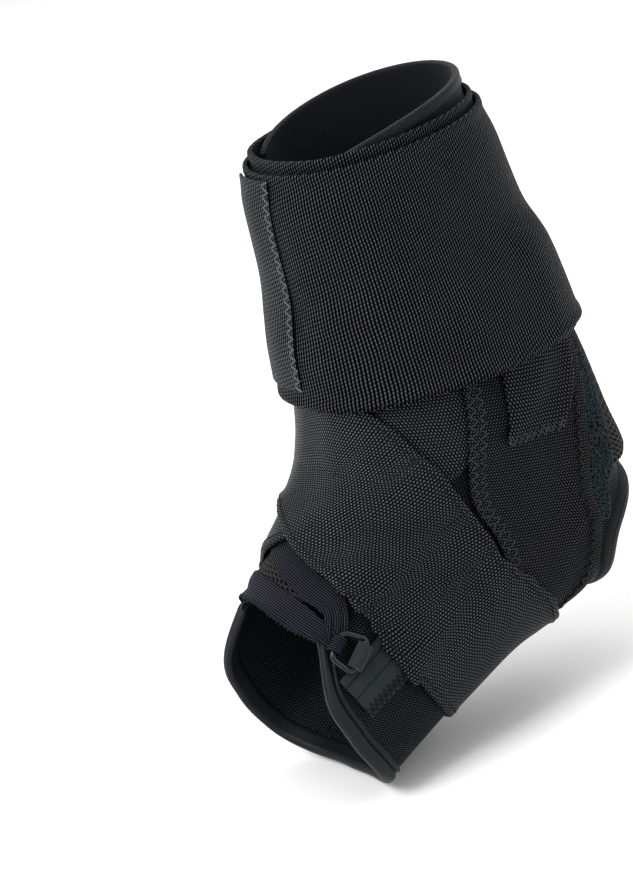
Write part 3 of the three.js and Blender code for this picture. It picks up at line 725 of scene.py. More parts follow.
def collar_top(angle):
    share = np.sin(np.pi * (angle - COLLAR_FRONT) / (360 - 2 * COLLAR_FRONT)).clip(0, 1) ** COLLAR_ROUND
    heights = CUFF_TOP + COLLAR_RISE * share
    marks = np.linspace(0, UPRIGHT, COLLAR_MARKS)
    levels = form_point(marks[:, None], np.ravel(angle)[None, :])[..., 2]
    station = [np.interp(-h, -levels[:, k], marks) for k, h in enumerate(np.ravel(heights))]
    return np.reshape(station, np.shape(angle)), angle


def collar_low(angle):
    return np.full(np.shape(angle), station_at(BOOT_TOP - COLLAR_LAP)), angle


def hem_at_top(across, along, width, length):
    """The upper edge is turned over, so it is thicker as far as the hem goes."""
    return HEM_RISE * smooth((HEM - along) / HEM_SLOPE)


stretch_knit = fabric("stretch_knit", knit, (0.0006, 0.0007), (0.003, 0.0038, 0.0052),
                      (0.013, 0.017, 0.022), 0.5, 0.00006, sheen=0.08)
collar_part = cloth(around(COLLAR_FRONT, 360 - COLLAR_FRONT, collar_top, collar_low), COLLAR_WALL,
                    relief=hem_at_top)
collar = piece("collar_cloth", [collar_part], stretch_knit, "top_collar")

# The collar's seam. Like all seams here it is one thread, sewn along a line on the cloth,
# straight or in zigzags, which rises between its needle holes and sinks at them.
seam_tree, seam_in, seam_out = tree_of("seam", {
    "Stitch": "Float", "Swing": "Float", "Thread": "Float", "Sink": "Float", "Material": "Material",
})
HALF_STITCH = 4              # steps of the thread from one needle hole to the next


def build_seam():
    line = add_node(seam_tree, "GeometryNodeMeshToCurve", {"Mesh": seam_in.outputs["Geometry"]})
    step = calc_geometry("DIVIDE", seam_in.outputs["Stitch"], 2 * HALF_STITCH)
    even = add_node(seam_tree, "GeometryNodeResampleCurve", {"Curve": line.outputs[0], "Length": step},
                    mode="LENGTH")
    index = add_node(seam_tree, "GeometryNodeInputIndex")
    swing = calc_geometry("PINGPONG", index.outputs[0], HALF_STITCH)
    share = calc_geometry("DIVIDE", swing, HALF_STITCH)
    aside = calc_geometry("MULTIPLY", calc_geometry("SUBTRACT", share, 0.5), seam_in.outputs["Swing"])
    arch = calc_geometry("SINE", calc_geometry("MULTIPLY", share, np.pi))
    lift = calc_geometry("MULTIPLY", calc_geometry("SUBTRACT", arch, seam_in.outputs["Sink"]),
                         seam_in.outputs["Thread"])
    out = add_node(seam_tree, "GeometryNodeInputNamedAttribute", {"Name": "out"}, data_type="FLOAT_VECTOR")
    ahead = add_node(seam_tree, "GeometryNodeInputTangent")
    side = add_node(seam_tree, "ShaderNodeVectorMath", {0: ahead.outputs[0], 1: out.outputs[0]},
                    operation="CROSS_PRODUCT")
    moved_side = add_node(seam_tree, "ShaderNodeVectorMath", {0: side.outputs[0], "Scale": aside},
                          operation="SCALE")
    moved_out = add_node(seam_tree, "ShaderNodeVectorMath", {0: out.outputs[0], "Scale": lift},
                         operation="SCALE")
    total = add_node(seam_tree, "ShaderNodeVectorMath", {0: moved_side.outputs[0], 1: moved_out.outputs[0]},
                     operation="ADD")
    placed = add_node(seam_tree, "GeometryNodeSetPosition", {
        "Geometry": even.outputs[0], "Offset": total.outputs[0],
    })
    tube_end(seam_tree, seam_in, seam_out, placed.outputs[0])


def calc_geometry(operation, *values):
    return add_node(seam_tree, "ShaderNodeMath", dict(enumerate(values)), operation=operation).outputs[0]


build_seam()


def seam_line(measure, outer, normal, distance, start, end):
    """A line over the rows of a grid, at a distance along each row that measure gives."""
    points, outs = [], []
    for i in range(int(start * (len(outer) - 1)), int(end * (len(outer) - 1)) + 1):
        at = distance if distance >= 0 else measure[i, -1] + distance
        points.append([np.interp(at, measure[i], outer[i, :, k]) for k in range(3)])
        outs.append([np.interp(at, measure[i], normal[i, :, k]) for k in range(3)])
    return np.array(points), np.array(outs)


def beside(part, distance, start=0.0, end=1.0):
    """A line down a cloth at a distance from its first edge, or with a minus from its other."""
    return seam_line(part.across, part.outer, part.normal, distance, start, end)


def along_edge(part, distance, start=0.0, end=1.0):
    """A line across a cloth at a distance from its first end, or with a minus from its other."""
    outer, normal = (grid.swapaxes(0, 1) for grid in (part.outer, part.normal))
    return seam_line(part.along.T, outer, normal, distance, start, end)


dark_thread = plain_thread("dark_thread", (0.042, 0.044, 0.049))
black_thread = plain_thread("black_thread", (0.003, 0.003, 0.0035))
grey_thread = plain_thread("grey_thread", (0.130, 0.140, 0.150))


def sew(name, lines, stitch, swing, thread, material, sink=0.45):
    """Sews lines with one thread. A straight seam has no swing, and its thread sinks in the holes."""
    verts, edges, outs = [], [], []
    for points, out in lines:
        first = sum(len(v) for v in verts)
        verts.append(points)
        outs.append(out)
        edges += [(first + k, first + k + 1) for k in range(len(points) - 1)]
    guide = bpy.data.meshes.new(name + "_guide")
    guide.from_pydata(np.concatenate(verts).tolist(), edges, [])
    attribute = guide.attributes.new("out", "FLOAT_VECTOR", "POINT")
    attribute.data.foreach_set("vector", np.concatenate(outs).astype(np.float32).ravel())
    values = {"Stitch": stitch, "Swing": swing, "Thread": thread, "Sink": sink, "Material": material}
    return grown(name, guide, seam_tree, values)


THREAD = 0.0002
STRAIGHT_STITCH = 0.005      # two stitches
ZIGZAG_STITCH = 0.0034
ZIGZAG_SWING = 0.0025
sew("collar_seam", [along_edge(collar_part, HEM - HEM_SEAM)], STRAIGHT_STITCH, 0.0, THREAD,
    black_thread)

# Boot: the shell of heavy black nylon that carries all the other layers. It is open in front,
# over the tongue, and it has one opening behind at the bottom and one at its front end.
BOOT_WALL = 0.0018
BINDING_WIDTH = 0.007
# stations of the edge of the foot opening, from its front corner to the middle of its lower side
FOOT_EDGE = [[0.945], [0.992], [0.998], [0.994], [0.988], [0.985], [0.985]]
FRONT_END = 38
FRONT_EDGE = [
    # station, angles of its front edges
    [0.05, -17, 17],
    [0.45, -18, 18],
    [0.75, -23, 23],
    [1.05, -45, 45],
]
HEEL_MIDDLE = 0.688
HEEL_TALL = 0.085
HEEL_SPREAD = 30
HEEL_HALF = 0.0125           # about half the width of the heel opening
BOOT_IN_BINDING = 0.003      # how far from the cut edge the boot ends inside its binding


WEFT_ROUND = 0.6             # how square a weft crown is across its row
WEFT_SHARP = (1.2, 5.0)      # how narrow the painted highlight on it is, along and across the row
WARP_HEIGHT = 0.6
# lightness of the warp, which lies in painted shade between the crowns
WARP_LIGHT = 0.03


def weave(tree, x, y):
    """Plain weave: weft crowns in rows, each row half a crown out of step with the next, and warp between
    them. Each crown carries a painted highlight, and the warp is kept dark as painted shade."""
    row = calc(tree, "FLOOR", y)
    step = calc(tree, "ADD", x, calc(tree, "MULTIPLY", row, 0.5))
    bulge = calc(tree, "SINE", calc(tree, "MULTIPLY", calc(tree, "SUBTRACT", y, row), np.pi))
    across = calc(tree, "POWER", calc(tree, "MAXIMUM", bulge, 0.0), WEFT_ROUND)
    crown = wave(tree, step)
    weft = calc(tree, "MULTIPLY", crown, across)
    warp = calc(tree, "MULTIPLY", wave(tree, calc(tree, "ADD", step, 0.5)), across)
    height = calc(tree, "MAXIMUM", weft, calc(tree, "MULTIPLY", warp, WARP_HEIGHT))
    shine = calc(tree, "MULTIPLY", calc(tree, "POWER", crown, WEFT_SHARP[0]),
                 calc(tree, "POWER", across, WEFT_SHARP[1]))
    return height, calc(tree, "MULTIPLY_ADD", warp, WARP_LIGHT, shine)


def foot_edge(angle):
    """The edge of the foot opening, whose two sides are alike."""
    share = (180 - np.abs(180 - angle) - FRONT_END) / (180 - FRONT_END)
    return through(FOOT_EDGE, share)[..., 0], angle


def up_from(edge, distance):
    """A place some way up from another."""
    return travel(edge, -form_slopes(*edge)[0], distance)


def boot_place(s, t):
    """s goes round from one front edge to the other and t from the top to the foot opening."""
    angle = lerp(FRONT_END, 360 - FRONT_END, s)
    low = up_from(foot_edge(angle), BOOT_IN_BINDING)[0]
    station = lerp(station_at(BOOT_TOP), low, t)
    fine = through(FRONT_EDGE, np.linspace(0, 1, 101))
    front = np.interp(station, fine[:, 0], fine[:, 2])
    return station, lerp(front, 360 - front, s)


def in_heel(station, angle):
    """True where the boot is cut away at the heel opening."""
    reach = 1 + BOOT_IN_BINDING / HEEL_HALF
    return ((station - HEEL_MIDDLE) / HEEL_TALL) ** 2 + ((angle - 180) / HEEL_SPREAD) ** 2 < reach**2


boot_nylon = fabric("boot_nylon", weave, (0.0011, 0.0007), (0.0003, 0.0004, 0.0006),
                    (0.027, 0.031, 0.040), 0.42, 0.00018, turn=35, specular=0.3)
boot_part = cloth(boot_place, BOOT_WALL, holes=in_heel)
boot_cols = boot_part.chart.shape[1]
boot_half = (boot_cols + 1) // 2
boot_cut = flattened(boot_part.outer[:, :boot_half], boot_part.outer[:, :boot_half, 1:])
boot_part.chart = np.concatenate([boot_cut, boot_cut[:, boot_cols - boot_half - 1::-1]], axis=1)
boot = piece("boot_cloth", [boot_part], boot_nylon, "boot_shell")

# Bindings: a fine-ribbed tape folded over the foot opening, and a smooth band round the heel opening. The
# tape has a ridge where its inner edge is sewn down, and the band two seam grooves near its outer edge.
BINDING_WALL = 0.0032
BINDING_BASE = -0.0003
BINDING_CELL = 0.0008
BINDING_RIDGE = 0.0009       # from the tape's sewn edge to its ridge
BINDING_SEAM = 0.0022        # from the tape's sewn edge to its seam
RIDGE = (0.0004, 0.0006)     # height and spread
GROOVE = (0.0007, 0.0005)    # depth and spread
BINDING_CROWN = 0.0006
HEEL_SEAMS = (0.0014, 0.0026)
HEEL_GROOVE = (0.0004, 0.0003)
HEEL_CROWN = 0.0005
TAPE_DIP = 0.35              # depth between two ribs' stitches, as a share of their height
TAPE_SHARP = 1.4             # how narrow the painted highlight on a rib is
binding_bed = np.full_like(stack, BINDING_BASE)


def swell(distance, middle, spread):
    """A smooth swell, 1 high at its middle."""
    return np.exp(-((distance - middle) / spread) ** 2)


def foot_seam(angle):
    """The inner edge of the tape round the foot opening."""
    return up_from(foot_edge(angle), BINDING_WIDTH)


def binding_ridge(across, along, width, length):
    """A groove beside a narrow ridge along the sewn edge, and a rounder cut edge."""
    ridge = RIDGE[0] * swell(along, BINDING_RIDGE, RIDGE[1])
    groove = -GROOVE[0] * swell(along, BINDING_SEAM, GROOVE[1])
    share = np.clip((along - BINDING_SEAM) / (length - BINDING_SEAM), 0, 1)
    return ridge + groove + BINDING_CROWN * np.sin(np.pi * share)


def heel_place(s, t):
    """s goes round the opening and t out from it."""
    turn = 2 * np.pi * s
    station = HEEL_MIDDLE - HEEL_TALL * np.cos(turn)
    angle = 180 - HEEL_SPREAD * np.sin(turn)
    out = form_point(station, angle) - form_point(HEEL_MIDDLE, 180.0)
    return travel((station, angle), out, BINDING_WIDTH * t)


def heel_ridge(across, along, width, length):
    """Two seam grooves near the outer edge of the heel band."""
    grooves = sum(swell(length - along, at, HEEL_GROOVE[1]) for at in HEEL_SEAMS)
    return HEEL_CROWN * np.sin(np.pi * np.clip(along / length, 0, 1)) - HEEL_GROOVE[0] * grooves


def ribs(tree, x, y):
    """Fine cross ribs on a tape, with a painted highlight on each rib."""
    rib = wave(tree, x)
    height = calc(tree, "MULTIPLY", rib, calc(tree, "MULTIPLY_ADD", wave(tree, y), TAPE_DIP, 1 - TAPE_DIP))
    return height, calc(tree, "POWER", height, TAPE_SHARP)


ribbed_tape = fabric("ribbed_tape", ribs, (0.0005, 0.0006), (0.0015, 0.0018, 0.0030),
                     (0.012, 0.014, 0.021), 0.42, 0.00005, specular=0.5)
foot_part = cloth(around(FRONT_END, 360 - FRONT_END, foot_seam, foot_edge), BINDING_WALL,
                  bed=binding_bed, relief=binding_ridge, cell=BINDING_CELL)
foot_binding = piece("foot_binding_tape", [foot_part], ribbed_tape, "foot_binding")
heel_part = cloth(heel_place, BINDING_WALL, closed=True, bed=binding_bed, relief=heel_ridge,
                  cell=BINDING_CELL)
heel_binding = piece("heel_binding_band", [heel_part], stretch_knit, "heel_binding")
sew("foot_binding_seam", [along_edge(foot_part, BINDING_SEAM)], STRAIGHT_STITCH, 0.0, THREAD,
    black_thread)

# Mesh pad and pile: a pad of spacer mesh that bulges behind, above the heel opening, with a
# strip of bluish loop pile sewn on each side of it.
PAD_WALL = 0.007
PAD = [
    # station, angles of its two edges
    [0.34, 152, 208],
    [0.44, 146, 214],
    [0.52, 142, 218],
    [0.575, 141, 219],
]
PAD_ENDS = 0.5               # wall at the pad's ends, as a share of that in its middle
PAD_SIDES = 0.3              # wall at its sides, as a share of the full one
PAD_CROWN = 0.65             # what its middle has more
PAD_ROUND = 0.6              # how square its bulge is
PAD_NET_INSET = 0.001
PILE_WALL = 0.0018
PILE_STRIP = [
    # station, angles of its two edges
    [0.30, 138, 155],
    [0.40, 131, 150],
    [0.50, 124, 146],
    [0.58, 122, 143],
    [0.655, 125, 140],
]
LOOP_SIZE = 0.0012
LOOP_THREAD = 0.00011
LOOP_STEPS = 5
LOOP_SIDES = 4
LOOP_DENSITY = 1.8e6         # loops in a square metre


def pad_bulge(s, t):
    """The pad is thickest in its middle and thin at its sides."""
    crown = PAD_ENDS + (1 - PAD_ENDS) * np.sin(np.pi * t) ** PAD_ROUND
    return crown * (PAD_SIDES + PAD_CROWN * np.sin(np.pi * s) ** PAD_ROUND)


pad_part = cloth(down(PAD), PAD_WALL, thickness=pad_bulge)
pad = piece("achilles_mesh", [pad_part], spacer_knit, "achilles_pad")
open_knit("achilles_face", pad_part, PAD_NET_INSET, mesh_yarn)

pile_cloth = fabric("pile_cloth", knit, (0.0005, 0.0005), (0.0006, 0.0010, 0.0013), (0.004, 0.007, 0.009),
                    0.95, 0.0003)
loop_tree, loop_in, loop_out = tree_of("loops", {
    "Density": "Float", "Size": "Float", "Thread": "Float", "Seed": "Int", "Material": "Material",
})
loop_points = add_node(loop_tree, "GeometryNodeDistributePointsOnFaces", {
    "Mesh": loop_in.outputs["Geometry"], "Density": loop_in.outputs["Density"],
    "Seed": loop_in.outputs["Seed"],
})
loop_arc = add_node(loop_tree, "GeometryNodeCurveArc", {
    "Resolution": LOOP_STEPS, "Radius": loop_in.outputs["Size"], "Start Angle": 0.0, "Sweep Angle": np.pi,
})
loop_up = add_node(loop_tree, "GeometryNodeTransform", {
    "Geometry": loop_arc.outputs[0], "Rotation": (np.pi / 2, 0, 0),
})
loop_ring = add_node(loop_tree, "GeometryNodeCurvePrimitiveCircle", {
    "Resolution": LOOP_SIDES, "Radius": loop_in.outputs["Thread"],
})
loop_tube = add_node(loop_tree, "GeometryNodeCurveToMesh", {
    "Curve": loop_up.outputs[0], "Profile Curve": loop_ring.outputs[0],
})
loop_spin = add_node(loop_tree, "FunctionNodeRandomValue", {"Seed": loop_in.outputs["Seed"]},
                     data_type="FLOAT_VECTOR")
loop_spin.inputs[0].default_value = (-0.5, -0.5, 0)
loop_spin.inputs[1].default_value = (0.5, 0.5, 2 * np.pi)
loop_lean = add_node(loop_tree, "FunctionNodeRotateRotation", {
    "Rotation": loop_points.outputs["Rotation"], "Rotate By": loop_spin.outputs[0],
}, rotation_space="LOCAL")
loop_copies = add_node(loop_tree, "GeometryNodeInstanceOnPoints", {
    "Points": loop_points.outputs[0], "Instance": loop_tube.outputs[0], "Rotation": loop_lean.outputs[0],
})
loop_real = add_node(loop_tree, "GeometryNodeRealizeInstances", {"Geometry": loop_copies.outputs[0]})
loop_named = add_node(loop_tree, "GeometryNodeSetMaterial", {
    "Geometry": loop_real.outputs[0], "Material": loop_in.outputs["Material"],
})
loop_tree.links.new(loop_named.outputs[0], loop_out.inputs[0])


def surface_of(part, name):
    """The outer face of a cloth as a mesh of its own, to grow things on."""
    rows, cols = part.outer.shape[:2]
    grid = np.arange(rows * cols).reshape(rows, cols)
    faces = np.stack([grid[:-1, :-1], grid[1:, :-1], grid[1:, 1:], grid[:-1, 1:]], -1).reshape(-1, 4)
    mesh = bpy.data.meshes.new(name)
    mesh.from_pydata(part.outer.reshape(-1, 3).tolist(), [], faces.tolist())
    return mesh


pile_thread = plain_thread("pile_thread", (0.044, 0.066, 0.078))
for seed, (side, rows) in enumerate((("lateral", PILE_STRIP), ("medial", mirrored(PILE_STRIP)))):
    pile_part = cloth(down(rows), PILE_WALL)
    pile = piece("pile_" + side, [pile_part], pile_cloth, "pile_strip_" + side)
    grown("pile_loops_" + side, surface_of(pile_part, "pile_face"), loop_tree, {
        "Density": LOOP_DENSITY, "Size": LOOP_SIZE / 2, "Thread": LOOP_THREAD, "Seed": seed,
        "Material": pile_thread,
    })

# Lace and tab: two strands of flat elastic cross the front of the boot and meet in a metal
# ring, folded round its short bar. A folded tab of synthetic suede, sewn to the boot, holds the
# ring's long bar.
RING_PLACE = (0.942, 54.0)
RING_LINE = ((0.91, 56.0), (0.95, 62.0))
RING_LENGTH = 0.014
RING_DEPTH = 0.010
RING_WIRE = 0.002
RING_NECK = 0.011
RING_CORNER = 0.0015
LACE_WIDTH = 0.009
LACE_WALL = 0.0013
LACE_CELL = 0.0006
GATHERED = 0.62              # width of a strand at the ring, as a share of its full width
GATHERED_TO = 0.25           # share of its length by which it has its full width
SCALLOPS = 80
SCALLOP_DEPTH = 0.0002
BUNCH_REACH = 0.022
BUNCH_RISE = 0.0007
BUNCH_FOLDS = 2.5
PICOT_IN = 0.0002            # picots: the small loops of yarn along the lace's lower edge
PICOT_STITCH = 0.0019
PICOT_SWING = 0.0013
PICOT_YARN = 0.0003
SLEEVE_STEPS = 13
SLEEVE_TURNS = 32
TAB_WIDTH = 0.020
TAB_LENGTH = 0.015
TAB_WALL = 0.0015
TAB_AIM = (0.949, 84.0)
TAB_SEAMS = (0.0030, 0.0078)
TAB_GROOVE = (0.0003, 0.0004)
TAB_CELL = 0.0005
BARTACK_AT = (-0.0012, -0.0028)
BARTACK_STITCH = 0.0021
BARTACK_SWING = 0.0026
BARTACK_YARN = 0.00022

ring_normal = form_normal(*RING_PLACE)
line_ends = [form_point(*at) for at in RING_LINE]
line = line_ends[1] - line_ends[0]
ring_along = unit(line - ring_normal * (line @ ring_normal))
ring_out = np.cross(ring_along, ring_normal)
bar_offset = (RING_DEPTH - RING_WIRE) / 2
lace_end = travel(RING_PLACE, ring_out, bar_offset)
tab_end = travel(RING_PLACE, -ring_out, bar_offset)
ring_box = (np.array(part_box("d_ring")[0]) + np.array(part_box("d_ring")[1])) / 2
ring_height = float((ring_box - form_point(*RING_PLACE)) @ ring_normal)
ring_middle = form_point(*RING_PLACE) + ring_normal * ring_height

LACE_UPPER = [
    lace_end,
    [0.892, 34],
    [0.86, 19],
    [0.82, 6],
    [0.775, -5],
    [0.73, -16],
    [0.69, -28],
]
LACE_LOWER = [
    lace_end,
    [0.935, 31],
    [0.925, 15],
    [0.912, 0],
    [0.905, -15],
    [0.905, -30],
    [0.915, -43],
]


def lace_width(t):
    """The strands gather towards the ring, and their edges are scalloped."""
    gathered = LACE_WIDTH * (GATHERED + (1 - GATHERED) * smooth(t / GATHERED_TO))
    return gathered + SCALLOP_DEPTH * np.sin(2 * np.pi * t * SCALLOPS)


def lace_folds(across, along, width, length):
    """Soft folds where the strands are bunched into the ring."""
    bunch = 1 - smooth(along / BUNCH_REACH)
    return BUNCH_RISE * bunch * (0.5 + 0.5 * np.cos(2 * np.pi * across / width * BUNCH_FOLDS))


def sleeve(half, out, inner_height):
    """The fold of a cloth round a bar of the ring."""
    turns = np.linspace(0, 2 * np.pi, SLEEVE_TURNS + 1)
    span = np.linspace(-1, 1, SLEEVE_STEPS) * (half - RING_CORNER - CLEARANCE)
    long = float(np.ptp(span))
    along, angle = np.meshgrid(span, turns[:-1], indexing="ij")
    centre = ring_middle + ring_out * out + ring_along * along[..., None]
    arm = ring_normal * np.cos(angle)[..., None] + ring_out * np.sin(angle)[..., None]
    inner_radius = RING_WIRE / 2 + CLEARANCE / 2
    outer_radius = min(ring_height - inner_height, inner_radius + LACE_WALL)
    chart_along = np.linspace(0, 1, SLEEVE_STEPS) * long
    chart = np.stack(np.meshgrid(chart_along, turns * outer_radius, indexing="ij"), -1)
    return SimpleNamespace(outer=centre + arm * outer_radius, inner=centre + arm * inner_radius,
                           keep=np.ones((SLEEVE_STEPS - 1, SLEEVE_TURNS), bool), closed=True, chart=chart,
                           width=float(2 * np.pi * outer_radius), length=long)


lace_knit = fabric("lace_knit", ribs, (0.00075, 0.0009), (0.0012, 0.0016, 0.0028), (0.009, 0.013, 0.023),
                   0.65, 0.0002)
lace_yarn = plain_thread("lace_yarn", (0.004, 0.005, 0.008))
ring_bed = laid()
lace_parts = [cloth(strip(path, lace_width), LACE_WALL, bed=ring_bed, relief=lace_folds, cell=LACE_CELL)
              for path in (LACE_LOWER, LACE_UPPER)]
lace_height = float(read(ring_bed, *map(np.array, lace_end)))
lace_fold = sleeve((RING_NECK - RING_WIRE) / 2, bar_offset, lace_height)
lace = piece("instep_lace", [*lace_parts, lace_fold], lace_knit, "instep_elastic")
front_side = 1 if lace_parts[0].station[:, 0].mean() > lace_parts[0].station[:, -1].mean() else -1
sew("lace_picots", [beside(lace_parts[0], front_side * PICOT_IN)], PICOT_STITCH, PICOT_SWING, PICOT_YARN,
    lace_yarn)


def nap(tree, x, y):
    """The short even nap of suede."""
    joined = add_node(tree, "ShaderNodeCombineXYZ", {0: x, 1: y})
    grain = add_node(tree, "ShaderNodeTexNoise", {"Vector": joined.outputs[0], "Scale": 1.0, "Detail": 4.0})
    return grain.outputs[0], grain.outputs[0]


suede = fabric("suede", nap, (0.0004, 0.0004), (0.004, 0.006, 0.007), (0.015, 0.022, 0.026), 0.8, 0.00006,
               sheen=0.12)
tab_points = [travel(tab_end, form_point(*TAB_AIM) - form_point(*tab_end), TAB_LENGTH * share)
              for share in (0, 0.5, 1)]


def tab_grooves(across, along, width, length):
    """The thread pulls a groove along each seam of the tab."""
    return -TAB_GROOVE[0] * sum(swell(along, at, TAB_GROOVE[1]) for at in TAB_SEAMS)


tab_part = cloth(strip(tab_points, lambda t: TAB_WIDTH + 0 * t), TAB_WALL, bed=ring_bed,
                 relief=tab_grooves, cell=TAB_CELL)
tab_height = float(read(ring_bed, *map(np.array, tab_end)))
tab_fold = sleeve((RING_LENGTH - RING_WIRE) / 2, -bar_offset, tab_height)
tab = piece("ring_tab_suede", [tab_part, tab_fold], suede, "ring_tab")
sew("tab_seams", [along_edge(tab_part, at, 0.04, 0.96) for at in TAB_SEAMS], STRAIGHT_STITCH, 0.0, THREAD,
    black_thread, sink=0.5)
sew("tab_bartack", [along_edge(tab_part, at) for at in BARTACK_AT], BARTACK_STITCH, BARTACK_SWING,
    BARTACK_YARN, black_thread)

# Ring: coated round wire, bent to a four-sided loop with one long bar and soft corners. The
# folds of the lace and of the tab hold it by its two bars.
RING_SIDES = 24
CORNER_REACH = 1.5           # length of a corner's arm, as a share of its radius
CORNER_STEPS = 13
BAR_STEPS = 9
COAT_DARK = (0.004, 0.0045, 0.006, 1)
COAT_LIGHT = (0.008, 0.009, 0.012, 1)
COAT_WEAR_SCALE = 900.0
ring_half = (RING_LENGTH - RING_WIRE) / 2
neck_half = (RING_NECK - RING_WIRE) / 2
ring_corners = ((-ring_half, -bar_offset), (ring_half, -bar_offset),
                (neck_half, bar_offset), (-neck_half, bar_offset))
ring_line = []
for k in range(4):
    corner, before, after = (np.array(ring_corners[(k + d) % 4]) for d in (0, 3, 1))
    start = corner + unit(before - corner) * RING_CORNER * CORNER_REACH
    end = corner + unit(after - corner) * RING_CORNER * CORNER_REACH
    bend = np.linspace(0, 1, CORNER_STEPS)[:, None]
    ring_line.append(start * (1 - bend) ** 2 + corner * 2 * bend * (1 - bend) + end * bend**2)
    after_start = after + unit(corner - after) * RING_CORNER * CORNER_REACH
    ring_line.append(lerp(end, after_start, np.linspace(0, 1, BAR_STEPS)[1:-1, None]))
ring_line = np.concatenate(ring_line)
ring_points = ring_middle + ring_line[:, :1] * ring_along + ring_line[:, 1:] * ring_out
ring_ahead = unit(np.roll(ring_points, -1, 0) - np.roll(ring_points, 1, 0))
ring_aside = np.cross(ring_ahead, ring_normal)
turn = np.arange(RING_SIDES) * 2 * np.pi / RING_SIDES
ring_verts = (ring_points[:, None] + RING_WIRE / 2 * (ring_aside[:, None] * np.cos(turn)[:, None]
                                                      + ring_normal * np.sin(turn)[:, None]))
i, j = np.meshgrid(np.arange(len(ring_points)), np.arange(RING_SIDES), indexing="ij")
ring_ids = (np.stack([i, i + 1, i + 1, i]) % len(ring_points)) * RING_SIDES
ring_ids += np.stack([j, j, j + 1, j + 1]) % RING_SIDES
ring_mesh = bpy.data.meshes.new("ring_wire")
ring_mesh.from_pydata(ring_verts.reshape(-1, 3).tolist(), [], ring_ids.reshape(4, -1).T.tolist())
ring_mesh.shade_smooth()
coated = bpy.data.materials.new("coated_metal")
coated.use_nodes = True
coat = coated.node_tree.nodes["Principled BSDF"]
place = add_node(coated.node_tree, "ShaderNodeTexCoord")
wear = add_node(coated.node_tree, "ShaderNodeTexNoise", {
    "Vector": place.outputs["Object"], "Scale": COAT_WEAR_SCALE,
})
wear_mix = add_node(coated.node_tree, "ShaderNodeMix", {"Factor": wear.outputs[0]}, data_type="RGBA")
wear_mix.inputs[6].default_value = COAT_DARK
wear_mix.inputs[7].default_value = COAT_LIGHT
coated.node_tree.links.new(wear_mix.outputs[2], coat.inputs["Base Color"])
coat.inputs["Metallic"].default_value = 0.2
coat.inputs["Roughness"].default_value = 0.28
coat.inputs["Specular IOR Level"].default_value = 0.3
coat.inputs["Coat Weight"].default_value = 0.12
coat.inputs["Coat Roughness"].default_value = 0.06
ring_mesh.materials.append(coated)
ring = bpy.data.objects.new("ring_wire", ring_mesh)
bpy.context.scene.collection.objects.link(ring)
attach(ring, "root")
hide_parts("d_ring")

# Side panels and straps: on each side a stiff panel of heavy nylon, with a pocket for a stay sewn
# on it and edges overlocked with zigzags. A 50 mm nylon strap starts under the boot, comes up
# over the panel, crosses the front and ends under the cuff on the other side.
PANEL_WALL = 0.0013
PANEL = [
    # station, angles of its two edges
    [0.30, 70, 147],
    [0.40, 69, 141],
    [0.50, 63, 131],
    [0.60, 62, 130],
    [0.70, 76, 139],
    [0.82, 106, 150],
]
FRONT_ZIGZAGS = (0.0018, 0.0048)
REAR_ZIGZAG = 0.0042
LOW_ZIGZAG = 0.004
POCKET_WALL = 0.0017
POCKET = [
    # station, angles of its two edges
    [0.28, 95, 142],
    [0.35, 92, 139],
    [0.42, 88, 130],
    [0.47, 84, 117],
]
POCKET_ZIGZAGS = (-0.0010, -0.0022)
TURNED_RISE = 0.0003
TURNED_SLOPE = 0.0015
STRAP_WIDTH = 0.050
STRAP_WALL = 0.0014
STRAP_SEAM = 0.0025
STRAP_PULL = 0.00035         # height of the pulls across a strap
PULL_WAVES = (95, 25, 31)    # how close they lie, in radians a metre
STRAP_STIFF = 4
STRAP_TAUT = 30
STRAP = [
    # station, angle of the middle line
    [0.885, 178],
    [0.88, 142],
    [0.86, 102],
    [0.82, 68],
    [0.73, 37],
    [0.60, 22],
    [0.49, 8],
    [0.435, -14],
    [0.39, -40],
    [0.35, -64],
    [0.31, -88],
]


def turned_edges(across, along, width, length):
    """The sides are turned under, so the cloth is thicker along them."""
    near = np.minimum(across, width - across)
    return TURNED_RISE * smooth((HEM - near) / TURNED_SLOPE)


def strap_folds(across, along, width, length):
    """Turned edges and a few shallow pulls across the strap."""
    pull = np.sin(along * PULL_WAVES[0] + PULL_WAVES[1] * across) * np.sin(along * PULL_WAVES[2] + 1.0)
    return turned_edges(across, along, width, length) + STRAP_PULL * pull


STRAP_CURVE = 0.7            # how far the cut of a strap curves as its path does
IN_FROM_EDGE = 4             # columns of a strap's grid that lie in the round of its edge


def curved_cut(points):
    """The flat cut of a strap, whose rows turn in the plane as they turn on the brace."""
    wide = lengths(points, 1)
    steps = np.linalg.norm(np.diff(points, axis=0), axis=-1)
    near, far = IN_FROM_EDGE, -1 - IN_FROM_EDGE
    turning = (steps[:, far] - steps[:, near]) / (wide[:-1, far] - wide[:-1, near])
    heading = STRAP_CURVE * np.concatenate([[0], np.cumsum(turning)])
    heading = (heading - np.median(heading))[:, None]
    stride = np.concatenate([[0], steps.mean(axis=1)])[:, None]
    line = np.cumsum(np.concatenate([-np.sin(heading), np.cos(heading)], axis=1) * stride, axis=0)
    aside = wide - wide[:, -1:] / 2
    return np.stack([line[:, :1] + np.cos(heading) * aside, line[:, 1:] + np.sin(heading) * aside], -1)


